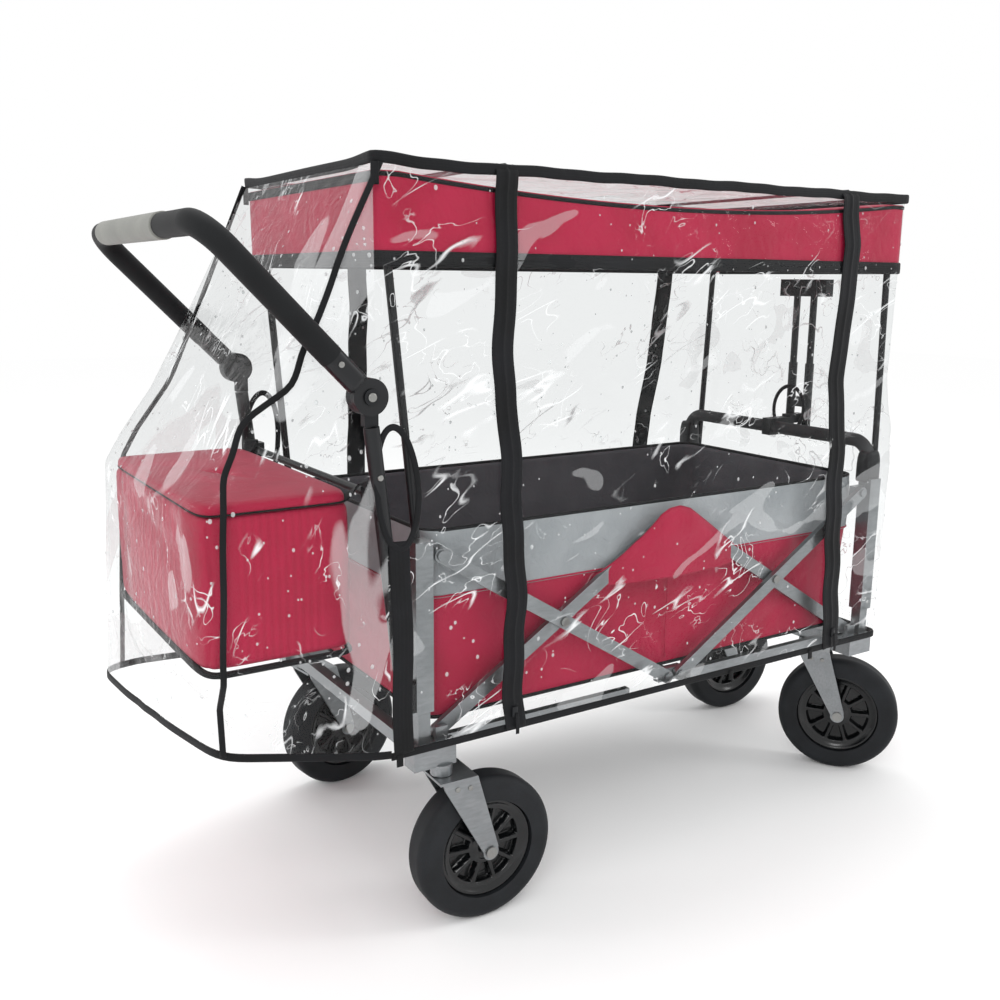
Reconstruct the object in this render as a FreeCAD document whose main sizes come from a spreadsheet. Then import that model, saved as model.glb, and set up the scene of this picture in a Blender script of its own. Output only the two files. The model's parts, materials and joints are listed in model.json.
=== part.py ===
import FreeCAD, Part
import math
import os

# A folding stroller wagon with a push handle, a stowed pull handle, a fabric basket,
# a flat canopy and a clear rain cover.  +X is the front (pull handle end), +Z is up,
# and the origin is on the floor under the middle of the whole object's box.
# Right-hand pieces are at -Y and left-hand pieces at +Y.

doc = FreeCAD.newDocument("StrollerWagon")
sheet = doc.addObject("Spreadsheet::Sheet", "Dims")

dimensions = [
    # the frame: two crossed pairs of links on each side, between four telescoping posts
    ("midX", 97), ("pivotX", 450), ("centreX", 14), ("lowZ", 310), ("highZ", 580),
    ("innerY", 246), ("outerY", 258), ("linkWide", 22), ("linkThick", 9),
    ("pinRad", 4), ("pinGap", 0.05), ("sideGap", 1),
    ("postX", 480), ("postY", 252), ("postSize", 20), ("tubeWall", 1.5),
    ("postLow", 300), ("postHigh", 590), ("slideSize", 28), ("slideLow", 350), ("slideHigh", 604),
    ("cornerLow", 262), ("cornerHigh", 300), ("cornerIn", 236), ("cornerOut", 268),
    ("railLow", 276), ("railHigh", 294), ("railWide", 12), ("railEndX", 75),
    ("crossSize", 20), ("frontCrossX", 459), ("centreBarRad", 8),
    # casters
    ("wheelRad", 115), ("tyreWide", 50), ("rimRad", 78), ("rimWide", 40), ("hubRad", 16),
    ("trail", 67), ("stemRad", 6), ("axleRad", 5), ("forkTop", 246), ("forkThick", 4), ("forkHalf", 30),
    ("headThick", 3), ("shoulder", 14),
    ("rearStemY", 258), ("frontStemY", 150), ("bossRad", 17), ("bossLow", 247), ("windowRad", 11),
    ("turnRearRight", 2), ("turnRearLeft", -8), ("turnFrontRight", 51), ("turnFrontLeft", 5),
    # push handle
    ("stayY", 258), ("stayRad", 11), ("stayLowX", 509), ("stayLowZ", 360), ("stayHighX", 555),
    ("stayHighZ", 770),
    ("hubX", 562), ("hubZ", 812), ("hingeRad", 25), ("hingeIn", 249), ("hingeSplit", 262), ("hingeOut", 275),
    ("buttonRad", 11), ("buttonDeep", 8), ("handleReach", 304), ("handleTilt", 45.5), ("handleRad", 11),
    ("gripRad", 16.5), ("gripStart", 75), ("handleBend", 45),
    ("railRodX", 543), ("railRodZ", 672), ("railRodRad", 6),
    # front end rail, canopy bows and pull handle
    ("endRailRad", 12.5), ("endRailY", 246), ("endRailZ", 672), ("bowRad", 6), ("bowTopZ", 1088),
    ("bowTopY", 225), ("bowFootY", 240), ("bowRearTopX", 522), ("bowFrontX", 504), ("bowFrontTopX", 514),
    ("pullX", 556), ("pullZ", 686), ("pullY", 22), ("sleeveRad", 9), ("sleeveLow", 646), ("sleeveHigh", 800),
    ("innerRad", 7), ("innerLow", 655), ("pullGripLow", 936), ("pullGripHigh", 970), ("pullGripHalf", 60),
    # soft pieces
    ("basketX", 462), ("basketY", 235), ("basketLow", 322), ("basketHigh", 612), ("clothThick", 3),
    ("matThick", 6), ("matGap", 8),
    ("canopyX", 536), ("canopyY", 238), ("canopyLow", 981), ("canopyHigh", 1108), ("canopyThick", 2.5),
    ("filmThick", 1), ("filmHem", 300), ("filmTop", 1112), ("filmSeamX", 540),
    ("bagInX", 570), ("bagOutX", 787), ("bagY", 236), ("bagLow", 448), ("bagHigh", 672), ("lidThick", 8),
]
for row, (alias, value) in enumerate(dimensions, start=1):
    sheet.set(f"A{row}", alias)
    sheet.set(f"B{row}", str(value))
    sheet.setAlias(f"B{row}", alias)
doc.recompute()
parts = []                                  # every finished sub-part


def dim(alias):
    """The value of one spreadsheet cell."""
    return float(sheet.get(alias))


def bind(thing, **expressions):
    """Bind properties to expressions; the word D. stands for the spreadsheet."""
    for name, text in expressions.items():
        thing.setExpression(name.replace("_", "."), str(text).replace("D.", "Dims."))
    return thing


def place(thing, x, y, z):
    """Bind a placement's base; x is measured from the wagon's middle."""
    return bind(thing, Placement_Base_x=f"D.midX + ({x})", Placement_Base_y=y, Placement_Base_z=z)


def finish(thing, label):
    """Give a finished sub-part its name and list it for export."""
    thing.Label = label
    parts.append(thing)
    return thing


def box(x0, x1, y0, y1, z0, z1):
    """A block between pairs of coordinates given as expressions, low one first."""
    thing = doc.addObject("Part::Box", "Block")
    bind(thing, Length=f"({x1}) - ({x0})", Width=f"({y1}) - ({y0})", Height=f"({z1}) - ({z0})")
    return place(thing, x0, y0, z0)


def sideBox(side, x0, x1, yIn, yOut, z0, z1):
    """A block on the left (side 1) or right (side -1), with yIn nearer the middle."""
    if side > 0:
        return box(x0, x1, yIn, yOut, z0, z1)
    return box(x0, x1, f"-({yOut})", f"-({yIn})", z0, z1)


def rod(axis, radius, length, x, y, z):
    """A round bar that starts at x, y, z and runs along +X, +Y or +Z."""
    turns = {
        "X": (FreeCAD.Vector(0, 1, 0), 90),
        "Y": (FreeCAD.Vector(1, 0, 0), -90),
        "Z": (FreeCAD.Vector(0, 0, 1), 0),
    }
    thing = doc.addObject("Part::Cylinder", "Rod")
    thing.Placement = FreeCAD.Placement(FreeCAD.Vector(), FreeCAD.Rotation(*turns[axis]))
    bind(thing, Radius=radius, Height=length)
    return place(thing, x, y, z)


def sideRod(side, radius, yIn, yOut, x, z):
    """A round bar across the wagon on one side, between yIn and yOut."""
    start = yIn if side > 0 else f"-({yOut})"
    return rod("Y", radius, f"({yOut}) - ({yIn})", x, start, z)


def fuse(pieces):
    """One solid from several overlapping ones."""
    thing = doc.addObject("Part::MultiFuse", "Joined")
    thing.Shapes = pieces
    return thing


def cut(base, tools):
    """A solid with others taken away."""
    thing = doc.addObject("Part::Cut", "Trimmed")
    thing.Base = base
    thing.Tool = tools[0] if len(tools) == 1 else fuse(tools)
    return thing


def group(pieces):
    """Separate alike solids kept together in one sub-part."""
    thing = doc.addObject("Part::Compound", "Set")
    thing.Links = pieces
    return thing


def shaped(label, shape):
    """A sub-part whose form is worked out here from the sheet's values, already in place."""
    thing = doc.addObject("Part::Feature", "Form")
    thing.Shape = shape
    thing.Placement = FreeCAD.Placement(FreeCAD.Vector(dim("midX"), 0, 0), FreeCAD.Rotation())
    return finish(thing, label)


def bentWire(points, bend):
    """Straight runs through the points, joined by arcs of radius bend."""
    points = [FreeCAD.Vector(*point) for point in points]
    edges = []
    start = points[0]
    for before, corner, after in zip(points, points[1:], points[2:]):
        inward = (before - corner).normalize()
        onward = (after - corner).normalize()
        half = inward.getAngle(onward) / 2
        setback = bend / math.tan(half)
        first = corner + inward * setback
        last = corner + onward * setback
        bisector = (inward + onward).normalize()
        middle = corner + bisector * (bend / math.sin(half) - bend)
        edges.append(Part.LineSegment(start, first).toShape())
        edges.append(Part.Arc(first, middle, last).toShape())
        start = last
    edges.append(Part.LineSegment(start, points[-1]).toShape())
    return Part.Wire(edges)


def tube(points, bend, radius, hole=0):
    """A round tube or bar swept along a bent wire."""
    wire = bentWire(points, bend)
    along = FreeCAD.Vector(*points[1]) - FreeCAD.Vector(*points[0])
    start = FreeCAD.Vector(*points[0])

    def swept(size):
        ring = Part.Wire(Part.makeCircle(size, start, along))
        return Part.Wire(wire).makePipeShell([ring], True, True)
    solid = swept(radius)
    return solid.cut(swept(hole)) if hole else solid


# ---- links -----------------------------------------------------------------------------
def link(label, side, plane, x, z, slope):
    """A flat link from the pivot at x, z; slope 1 rises towards the front, -1 falls."""
    reach = "sqrt((D.pivotX - D.centreX)^2 + (D.highZ - D.lowZ)^2)"
    bar = doc.addObject("Part::Box", "LinkBar")
    bind(bar, Length=reach, Width="D.linkThick", Height="D.linkWide")
    bind(bar, Placement_Base_y="-D.linkThick / 2", Placement_Base_z="-D.linkWide / 2")
    ends, holes = [], []
    for share in (0, 1):
        end = doc.addObject("Part::Cylinder", "LinkEnd")
        end.Placement.Rotation = FreeCAD.Rotation(FreeCAD.Vector(1, 0, 0), -90)
        bind(end, Radius="D.linkWide / 2", Height="D.linkThick")
        bind(end, Placement_Base_x=f"{share} * {reach}", Placement_Base_y="-D.linkThick / 2")
        ends.append(end)
    for share in (0, 0.5, 1):
        hole = doc.addObject("Part::Cylinder", "LinkHole")
        hole.Placement.Rotation = FreeCAD.Rotation(FreeCAD.Vector(1, 0, 0), -90)
        bind(hole, Radius="D.pinRad + D.pinGap", Height="D.linkThick * 2")
        bind(hole, Placement_Base_x=f"{share} * {reach}", Placement_Base_y="-D.linkThick")
        holes.append(hole)
    plate = cut(fuse([bar] + ends), holes)
    turned = doc.addObject("Part::Compound", "LinkSet")
    turned.Links = [plate]
    turned.Placement.Rotation = FreeCAD.Rotation(FreeCAD.Vector(0, -slope, 0), 1)
    angle = "atan2(D.highZ - D.lowZ; D.pivotX - D.centreX)"
    bind(turned, Placement_Rotation_Angle=angle)
    place(turned, x, f"{side} * ({plane})", z)
    return finish(turned, label)


sides = (("right", -1), ("left", 1))
for word, side in sides:
    link(f"rear_rising_link_{word}", side, "D.innerY", "-D.pivotX", "D.lowZ", 1)
    link(f"rear_falling_link_{word}", side, "D.outerY", "-D.pivotX", "D.highZ", -1)
    link(f"front_rising_link_{word}", side, "D.outerY", "D.centreX", "D.lowZ", 1)
    link(f"front_falling_link_{word}", side, "D.innerY", "D.centreX", "D.highZ", -1)

linkIn = "D.innerY - D.linkThick / 2"               # inner face of the inner links
linkMid = "D.innerY + D.linkThick / 2"              # their outer face
linkStart = "D.outerY - D.linkThick / 2"            # inner face of the outer links
linkOut = "D.outerY + D.linkThick / 2"              # their outer face
headThick = 3                                       # rivet head

for word, way in (("rear", -1), ("front", 1)):
    rivets = []
    crossX = f"{way} * (D.pivotX + D.centreX) / 2"
    crossZ = "(D.lowZ + D.highZ) / 2"
    for _, side in sides:
        shank = sideRod(side, "D.pinRad", linkIn, linkOut, crossX, crossZ)
        head = sideRod(side, "D.pinRad * 1.9", f"{linkOut} + 0.3", f"{linkOut} + {headThick}", crossX, crossZ)
        neck = sideRod(side, "D.pinRad", linkOut, f"{linkOut} + 0.4", crossX, crossZ)
        rivets.append(fuse([shank, neck, head]))
    finish(group(rivets), f"{word}_crossing_rivets")


# ---- corners, posts and cross tubes ----------------------------------------------------
def pinInLink(side, x, z, inwards):
    """A welded pivot pin that reaches through an inner or an outer link, with its head."""
    if inwards:
        pin = sideRod(side, "D.pinRad", f"{linkIn} - 1.5", f"{linkMid} + 2", x, z)
        head = sideRod(side, "D.pinRad * 1.9", f"{linkIn} - 3.5", f"{linkIn} - 0.5", x, z)
        return [pin, head]
    pin = sideRod(side, "D.pinRad", f"{linkStart} - 2", f"{linkOut} + 1.5", x, z)
    head = sideRod(side, "D.pinRad * 1.9", f"{linkOut} + 0.5", f"{linkOut} + {headThick}", x, z)
    return [pin, head]


for word, side in sides:
    # rear corner: block under the post, an ear for the rising link and the caster's boss
    stem = f"{side} * D.rearStemY"
    block = sideBox(side, "-D.postX - 20", "-D.pivotX + 20", "D.cornerIn", "D.cornerOut",
                    "D.cornerLow", "D.cornerHigh")
    ear = sideBox(side, "-D.pivotX - 10", "-D.pivotX + 10", f"{linkMid} + D.sideGap", "D.innerY + 14",
                  "D.cornerLow", "D.lowZ + 11")
    boss = rod("Z", "D.bossRad", "D.cornerLow - D.bossLow + 2", "-D.pivotX", stem, "D.bossLow")
    bore = rod("Z", "D.stemRad + D.pinGap", "D.cornerHigh - D.bossLow - 6", "-D.pivotX", stem, "D.bossLow")
    room = sideBox(side, "-D.pivotX - 14", "-D.pivotX + 21", f"{linkIn} - 4", f"{linkMid} + 0.9",
                   "D.lowZ - 14", "D.lowZ + 20")
    trimmed = cut(fuse([block, ear, boss]), [bore, room])
    pin = fuse(pinInLink(side, "-D.pivotX", "D.lowZ", True))
    finish(fuse([trimmed, pin]), f"rear_corner_bracket_{word}")

    # front corner: the same block and ear, and a step inwards that takes the cross tube
    block = sideBox(side, "D.pivotX - 10", "D.postX + 20", "D.cornerIn - 14", "D.cornerOut",
                    "D.cornerLow", "D.cornerHigh")
    ear = sideBox(side, "D.pivotX - 10", "D.pivotX + 10", f"{linkMid} + D.sideGap", "D.innerY + 14",
                  "D.cornerLow", "D.lowZ + 11")
    room = sideBox(side, "D.pivotX - 21", "D.pivotX + 14", f"{linkIn} - 4", f"{linkMid} + 0.9",
                   "D.lowZ - 14", "D.lowZ + 20")
    trimmed = cut(fuse([block, ear]), [room])
    pin = fuse(pinInLink(side, "D.pivotX", "D.lowZ", True))
    finish(fuse([trimmed, pin]), f"front_corner_bracket_{word}")



def cornerSquare(way, side, size, low, high):
    """A square bar centred on the post of one corner."""
    return sideBox(side, f"{way} * D.postX - ({size}) / 2", f"{way} * D.postX + ({size}) / 2",
                   f"D.postY - ({size}) / 2", f"D.postY + ({size}) / 2", low, high)


for word, way in (("rear", -1), ("front", 1)):
    posts, sleeves = [], []
    for _, side in sides:
        outside = cornerSquare(way, side, "D.postSize", "D.postLow", "D.postHigh")
        hollow = cornerSquare(way, side, "D.postSize - 2 * D.tubeWall", "D.postLow - 1", "D.postHigh + 1")
        posts.append(cut(outside, [hollow]))
        body = cornerSquare(way, side, "D.slideSize", "D.slideLow", "D.slideHigh")
        inside = cornerSquare(way, side, "D.postSize + 1.2", "D.slideLow - 1", "D.slideHigh - 6")
        earX = f"{way} * (D.pivotX + 6)"
        ear = sideBox(side, f"{earX} - 16", f"{earX} + 16", "D.innerY - 7", f"{linkStart} - D.sideGap",
                      "D.highZ - 11", "D.highZ + 11")
        pin = fuse(pinInLink(side, f"{way} * D.pivotX", "D.highZ", False))
        sleeves.append(fuse([cut(fuse([body, ear]), [inside]), pin]))
    finish(group(posts), f"{word}_posts")
    finish(group(sleeves), f"{word}_slide_tubes")

crossRear = box("-D.postX - D.crossSize / 2", "-D.postX + D.crossSize / 2", "-D.cornerIn", "D.cornerIn",
                "D.railHigh - D.crossSize", "D.railHigh")
finish(crossRear, "rear_cross_tube")
bar = box("D.frontCrossX - 10", "D.frontCrossX + 10", "14 - D.cornerIn", "D.cornerIn - 14",
          "D.cornerLow", "D.cornerHigh - 8")
bosses, bores = [], []
for _, side in sides:
    stem = f"{side} * D.frontStemY"
    bosses.append(rod("Z", "D.bossRad", "D.cornerLow - D.bossLow + 2", "D.frontCrossX", stem, "D.bossLow"))
    bores.append(rod("Z", "D.stemRad + D.pinGap", "D.cornerHigh - D.bossLow - 14", "D.frontCrossX", stem,
                     "D.bossLow"))
finish(cut(fuse([bar] + bosses), bores), "front_cross_tube")

rear, front = [], []
for _, side in sides:
    rear.append(sideBox(side, "-D.postX + D.crossSize / 2", "-D.railEndX", "D.cornerIn - D.railWide",
                        "D.cornerIn", "D.railLow", "D.railHigh"))
    front.append(sideBox(side, "D.railEndX", "D.frontCrossX - 10", "D.cornerIn - 26", "D.cornerIn - 14",
                         "D.railLow", "D.railHigh"))
finish(group(rear), "rear_floor_rails")
finish(group(front), "front_floor_rails")

# the centre brackets that carry two links each: the upper pair, and the lower pair on a bar
uppers, lowers = [], []
for _, side in sides:
    plate = sideBox(side, "-D.centreX - 12", "D.centreX + 12", f"{linkMid} + D.sideGap", "D.innerY + 14",
                    "D.highZ - 11", "D.highZ + 11")
    pins = pinInLink(side, "-D.centreX", "D.highZ", True) + pinInLink(side, "D.centreX", "D.highZ", True)
    uppers.append(fuse([plate] + pins))
    plate = sideBox(side, "-D.centreX - 12", "D.centreX + 12", "D.innerY - 7", f"{linkStart} - D.sideGap",
                    "D.lowZ - 11", "D.lowZ + 11")
    pins = pinInLink(side, "-D.centreX", "D.lowZ", False) + pinInLink(side, "D.centreX", "D.lowZ", False)
    lowers += [plate] + pins
finish(group(uppers), "top_hinge_brackets")
bar = rod("Y", "D.centreBarRad", "2 * D.innerY - 8", "0", "4 - D.innerY", "D.lowZ")
finish(fuse([bar] + lowers), "bottom_crossbar")


# ---- casters ---------------------------------------------------------------------------
def caster(word, stemX, stemY, turn):
    """Fork, axle, rim and tyre, made about the stem and then turned by the swivel angle."""
    def settle(thing, label):
        thing.Placement.Rotation = FreeCAD.Rotation(FreeCAD.Vector(0, 0, -1), 1)
        bind(thing, Placement_Rotation_Angle=f"D.{turn}")
        place(thing, stemX, stemY, 0)
        return finish(thing, label)

    def across(radius, length, y, x="D.trail", z="D.wheelRad"):
        """A round piece that runs along +Y from x, y, z, before the caster is turned."""
        thing = doc.addObject("Part::Cylinder", "Across")
        thing.Placement.Rotation = FreeCAD.Rotation(FreeCAD.Vector(1, 0, 0), -90)
        return bind(thing, Radius=radius, Height=length, Placement_Base_x=x, Placement_Base_y=y,
                    Placement_Base_z=z)

    def disc(radius, half, x="D.trail", z="D.wheelRad"):
        """A disc across the wheel, of the given half width."""
        return across(radius, f"2 * ({half})", f"-({half})", x, z)

    # fork: bent from plate, with two tapered legs, and a stem pin that turns in the boss
    trail, top, half, thick = dim("trail"), dim("forkTop"), dim("forkHalf"), dim("forkThick")
    low, end = dim("wheelRad"), 13                   # radius of a leg's rounded lower end
    toe = FreeCAD.Vector(trail, 0, low)
    outline = [(-14, top), (44, top), (toe.x + end, low + 6), (toe.x - end, low + 2), (-10, top - 14)]
    leg = Part.makePolygon([FreeCAD.Vector(x, 0, z) for x, z in outline + outline[:1]])
    leg = Part.Face(leg).extrude(FreeCAD.Vector(0, thick, 0))
    leg = leg.fuse(Part.makeCylinder(end, thick, toe, FreeCAD.Vector(0, 1, 0)))
    legs = [leg.translated(FreeCAD.Vector(0, y, 0)) for y in (half, -half - thick)]
    plate = Part.makeBox(62, 2 * (half + thick), thick, FreeCAD.Vector(-18, -half - thick, top - thick))
    stemHigh = dim("cornerHigh") - dim("bossLow") - 16
    stem = Part.makeCylinder(dim("stemRad"), stemHigh, FreeCAD.Vector(0, 0, top - 1))
    holeStart = toe - FreeCAD.Vector(0, 45, 0)
    hole = Part.makeCylinder(dim("axleRad") + 0.1, 90, holeStart, FreeCAD.Vector(0, 1, 0))
    shape = plate.fuse(legs + [stem]).removeSplitter().cut(hole)
    fork = doc.addObject("Part::Feature", "Fork")
    fork.Shape = shape
    settle(fork, f"{word}_fork")

    # axle bolt with a flat head at each end
    outer = "D.forkHalf + D.forkThick"
    heads = [across("D.axleRad * 1.8", "D.headThick", f"{outer} + 0.5"),
             across("D.axleRad * 1.8", "D.headThick", f"-({outer}) - 0.5 - D.headThick")]
    axle = fuse([disc("D.axleRad", f"{outer} + D.headThick")] + heads)
    settle(axle, f"{word}_axle")

    # rim: a barrel, a thin web with ten windows and a hub
    barrel = cut(disc("D.rimRad", "D.rimWide / 2"), [disc("D.rimRad - 5", "D.rimWide")])
    web = disc("D.rimRad - 4", "5")
    hub = disc("D.hubRad", "D.forkHalf - 1")
    count = 10
    windows = []
    for angle in (360 / count * i for i in range(count)):
        windows.append(disc("D.windowRad", "20", f"D.trail + (D.rimRad + D.hubRad) / 2 * cos({angle})",
                            f"D.wheelRad + (D.rimRad + D.hubRad) / 2 * sin({angle})"))
    rim = cut(fuse([barrel, web, hub]), [disc("D.axleRad + D.pinGap", "60")] + windows)
    settle(rim, f"{word}_rim")

    # tyre: a broad ring with rounded shoulders
    ring = cut(disc("D.wheelRad", "D.tyreWide / 2"), [disc("D.rimRad + 0.1", "D.tyreWide")])
    doc.recompute()
    shoulders = []
    for index, edge in enumerate(ring.Shape.Edges, start=1):
        radius = getattr(edge.Curve, "Radius", 0)
        if edge.isClosed() and abs(radius - dim("wheelRad")) < 0.01:
            shoulders.append((index, dim("shoulder"), dim("shoulder")))
    rounded = doc.addObject("Part::Fillet", "Shoulders")
    rounded.Base = ring
    rounded.Edges = shoulders
    doc.recompute()
    settle(rounded, f"{word}_tyre")


caster("rear_right", "-D.pivotX", "-D.rearStemY", "turnRearRight")
caster("rear_left", "-D.pivotX", "D.rearStemY", "turnRearLeft")
caster("front_right", "D.frontCrossX", "-D.frontStemY", "turnFrontRight")
caster("front_left", "D.frontCrossX", "D.frontStemY", "turnFrontLeft")

# ---- push handle -----------------------------------------------------------------------
stays, hinges = [], []
for _, side in sides:
    low = FreeCAD.Vector(-dim("stayLowX"), side * dim("stayY"), dim("stayLowZ"))
    high = FreeCAD.Vector(-dim("stayHighX"), side * dim("stayY"), dim("stayHighZ"))
    stay = Part.makeCylinder(dim("stayRad"), (high - low).Length, low, high - low)
    clampWide, clampDeep, clampTall = 22, 18, 44
    clampLow = min(side * (dim("stayY") - 10), side * (dim("stayY") + 8))
    clampCorner = FreeCAD.Vector(-dim("postX") - 14 - clampWide, clampLow, low.z - 6)
    clamp = Part.makeBox(clampWide, clampDeep, clampTall, clampCorner)
    stays.append(stay.fuse(clamp).removeSplitter())
    neckLow = min(side * dim("hingeIn"), side * dim("hingeSplit"))
    across = dim("hingeSplit") - dim("hingeIn")
    neckCorner = FreeCAD.Vector(-dim("stayHighX") - 11, neckLow, dim("stayHighZ") + 1.5)
    neck = Part.makeBox(20, across, 34, neckCorner)
    middle = FreeCAD.Vector(-dim("hubX"), neckLow, dim("hubZ"))
    disc = Part.makeCylinder(dim("hingeRad"), across, middle, FreeCAD.Vector(0, 1, 0))
    hinges.append(disc.fuse(neck).removeSplitter())
shaped("handle_stays", Part.makeCompound(stays))
shaped("handle_hubs", Part.makeCompound(hinges))

tilt = math.radians(dim("handleTilt"))
armDirection = FreeCAD.Vector(-math.cos(tilt), 0, math.sin(tilt))
hubPoint = FreeCAD.Vector(-dim("hubX"), 0, dim("hubZ"))
armY = (dim("hingeSplit") + 0.5 + dim("hingeOut")) / 2


def armPoint(side, reach):
    """A point on one arm's centre line at a distance from the hub."""
    return hubPoint + armDirection * reach + FreeCAD.Vector(0, side * armY, 0)


loop = [armPoint(1, 45), armPoint(1, dim("handleReach")), armPoint(-1, dim("handleReach")), armPoint(-1, 45)]
handle = tube(loop, dim("handleBend"), dim("handleRad"))
for _, side in sides:
    armIn = dim("hingeSplit") + 0.5
    armLow = min(side * armIn, side * dim("hingeOut"))
    across = dim("hingeOut") - armIn
    middle = FreeCAD.Vector(hubPoint.x, armLow, hubPoint.z)
    disc = Part.makeCylinder(dim("hingeRad"), across, middle, FreeCAD.Vector(0, 1, 0))
    bar = Part.makeBox(70, across, 22, FreeCAD.Vector(0, armLow, -11))
    bar.rotate(FreeCAD.Vector(), FreeCAD.Vector(0, 1, 0), 180 + dim("handleTilt"))
    bar.translate(hubPoint)
    pocketStart = dim("hingeOut") - dim("buttonDeep")
    pocketLow = min(side * pocketStart, side * (dim("hingeOut") + 1))
    pocket = Part.makeCylinder(dim("buttonRad") + 0.3, dim("buttonDeep") + 1,
                               FreeCAD.Vector(hubPoint.x, pocketLow, hubPoint.z), FreeCAD.Vector(0, 1, 0))
    handle = handle.fuse([disc, bar]).cut(pocket)
shaped("push_handle", handle.removeSplitter())
grip = [armPoint(1, dim("gripStart")), armPoint(1, dim("handleReach")), armPoint(-1, dim("handleReach")),
        armPoint(-1, dim("gripStart"))]
shaped("push_handle_grip", tube(grip, dim("handleBend"), dim("gripRad"), dim("handleRad") + 0.2))
for word, side in sides:
    button = rod("Y", "D.buttonRad", "D.buttonDeep - 1", "-D.hubX",
                 "D.hingeOut - 4" if side > 0 else "-D.hingeOut - D.buttonDeep + 5", "D.hubZ")
    finish(button, f"hub_button_{word}")

rodBar = rod("Y", "D.railRodRad", "2 * D.stayY - 2 * D.stayRad - 2", "-D.railRodX",
             "1 - D.stayY + D.stayRad", "D.railRodZ")
clamps = [sideBox(side, "-D.railRodX - 13", "-D.railRodX + 13", "D.stayY - D.stayRad - 24",
                  "D.stayY - D.stayRad - 1", "D.railRodZ - 12", "D.railRodZ + 12") for _, side in sides]
finish(fuse([rodBar] + clamps), "rear_rail")

# ---- front end rail, canopy bows and pull handle ---------------------------------------
endX, endY, endZ = dim("postX"), dim("endRailY"), dim("endRailZ")
foot = dim("slideHigh")
railPath = [(endX, endY, foot), (endX, endY, endZ), (endX, -endY, endZ), (endX, -endY, foot)]
shaped("front_end_rail", tube(railPath, 38, dim("endRailRad")))
topY, topZ, bowFootY = dim("bowTopY"), dim("bowTopZ"), dim("bowFootY")
rearFoot = dim("slideHigh") + 1.5
rearBow = tube([(-endX, bowFootY, rearFoot), (-dim("bowRearTopX"), topY, topZ),
                (-dim("bowRearTopX"), -topY, topZ), (-endX, -bowFootY, rearFoot)], 30, dim("bowRad"))
shaped("rear_canopy_bow", rearBow)
frontFoot = dim("slideHigh") - 8
frontX, frontTopX = dim("bowFrontX"), dim("bowFrontTopX")
frontBow = tube([(frontX, bowFootY, frontFoot), (frontTopX, topY, topZ),
                 (frontTopX, -topY, topZ), (frontX, -bowFootY, frontFoot)], 30, dim("bowRad"))
for _, side in sides:
    shoe = Part.makeBox(18, 16, 30, FreeCAD.Vector(dim("postX") + 14, side * bowFootY - 8, frontFoot - 28))
    frontBow = frontBow.fuse(shoe)
shaped("front_canopy_bow", frontBow.removeSplitter())

clampBlock = box("D.postX - 17", "D.postX + 42", "-11", "11", "D.endRailZ - 16", "D.endRailZ + 18")
tongue = box("D.postX + 40", "D.pullX + 9", "-11", "11", "D.pullZ - 9", "D.pullZ + 9")
railHole = rod("Y", "D.endRailRad + 0.1", "60", "D.postX", "-30", "D.endRailZ")
pinHole = rod("Y", "D.pinRad + D.pinGap", "60", "D.pullX", "-30", "D.pullZ")
finish(cut(fuse([clampBlock, tongue]), [railHole, pinHole]), "pull_handle_mount")
sleeves = []
for _, side in sides:
    outside = rod("Z", "D.sleeveRad", "D.sleeveHigh - D.sleeveLow", "D.pullX", f"{side} * D.pullY",
                  "D.sleeveLow")
    inside = rod("Z", "D.innerRad + 0.3", "D.sleeveHigh - D.sleeveLow + 20", "D.pullX",
                 f"{side} * D.pullY", "D.sleeveLow - 10")
    sleeves.append(cut(outside, [inside]))
spacer = box("D.pullX - 8", "D.pullX + 8", "-D.pullY + D.sleeveRad - 1", "D.pullY - D.sleeveRad + 1",
             "D.pullZ + 24", "D.pullZ + 44")
pin = rod("Y", "D.pinRad", "2 * (D.pullY - D.innerRad) - 1", "D.pullX", "-D.pullY + D.innerRad + 0.5",
          "D.pullZ")
finish(fuse(sleeves + [spacer, pin]), "pull_handle_sleeves")
legs = [rod("Z", "D.innerRad", "D.pullGripLow - D.innerLow + 5", "D.pullX", f"{side} * D.pullY",
            "D.innerLow") for _, side in sides]
gripBar = box("D.pullX - 11", "D.pullX + 11", "-D.pullGripHalf", "D.pullGripHalf", "D.pullGripLow",
              "D.pullGripHigh")
finish(fuse(legs + [gripBar]), "pull_handle_grip")

# ---- soft pieces: plain closed solids with the true outline ----------------------------
outside = box("-D.basketX", "D.basketX", "-D.basketY", "D.basketY", "D.basketLow", "D.basketHigh")
inside = box("D.clothThick - D.basketX", "D.basketX - D.clothThick", "D.clothThick - D.basketY",
             "D.basketY - D.clothThick", "D.basketLow + D.clothThick", "D.basketHigh + 5")
finish(cut(outside, [inside]), "basket")
finish(box("D.matGap - D.basketX", "D.basketX - D.matGap", "D.matGap - D.basketY", "D.basketY - D.matGap",
           "D.basketLow + D.clothThick", "D.basketLow + D.clothThick + D.matThick"), "floor_mat")
outside = box("-D.canopyX", "D.canopyX", "-D.canopyY", "D.canopyY", "D.canopyLow", "D.canopyHigh")
inside = box("D.canopyThick - D.canopyX", "D.canopyX - D.canopyThick", "D.canopyThick - D.canopyY",
             "D.canopyY - D.canopyThick", "D.canopyLow - 5", "D.canopyHigh - D.canopyThick")
finish(cut(outside, [inside]), "canopy")
finish(box("-D.bagOutX", "-D.bagInX", "-D.bagY", "D.bagY", "D.bagLow", "D.bagHigh"), "rear_bag")
finish(box("-D.bagOutX", "-D.bagInX", "-D.bagY", "D.bagY", "D.bagHigh", "D.bagHigh + D.lidThick"),
       "bag_lid")

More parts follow.
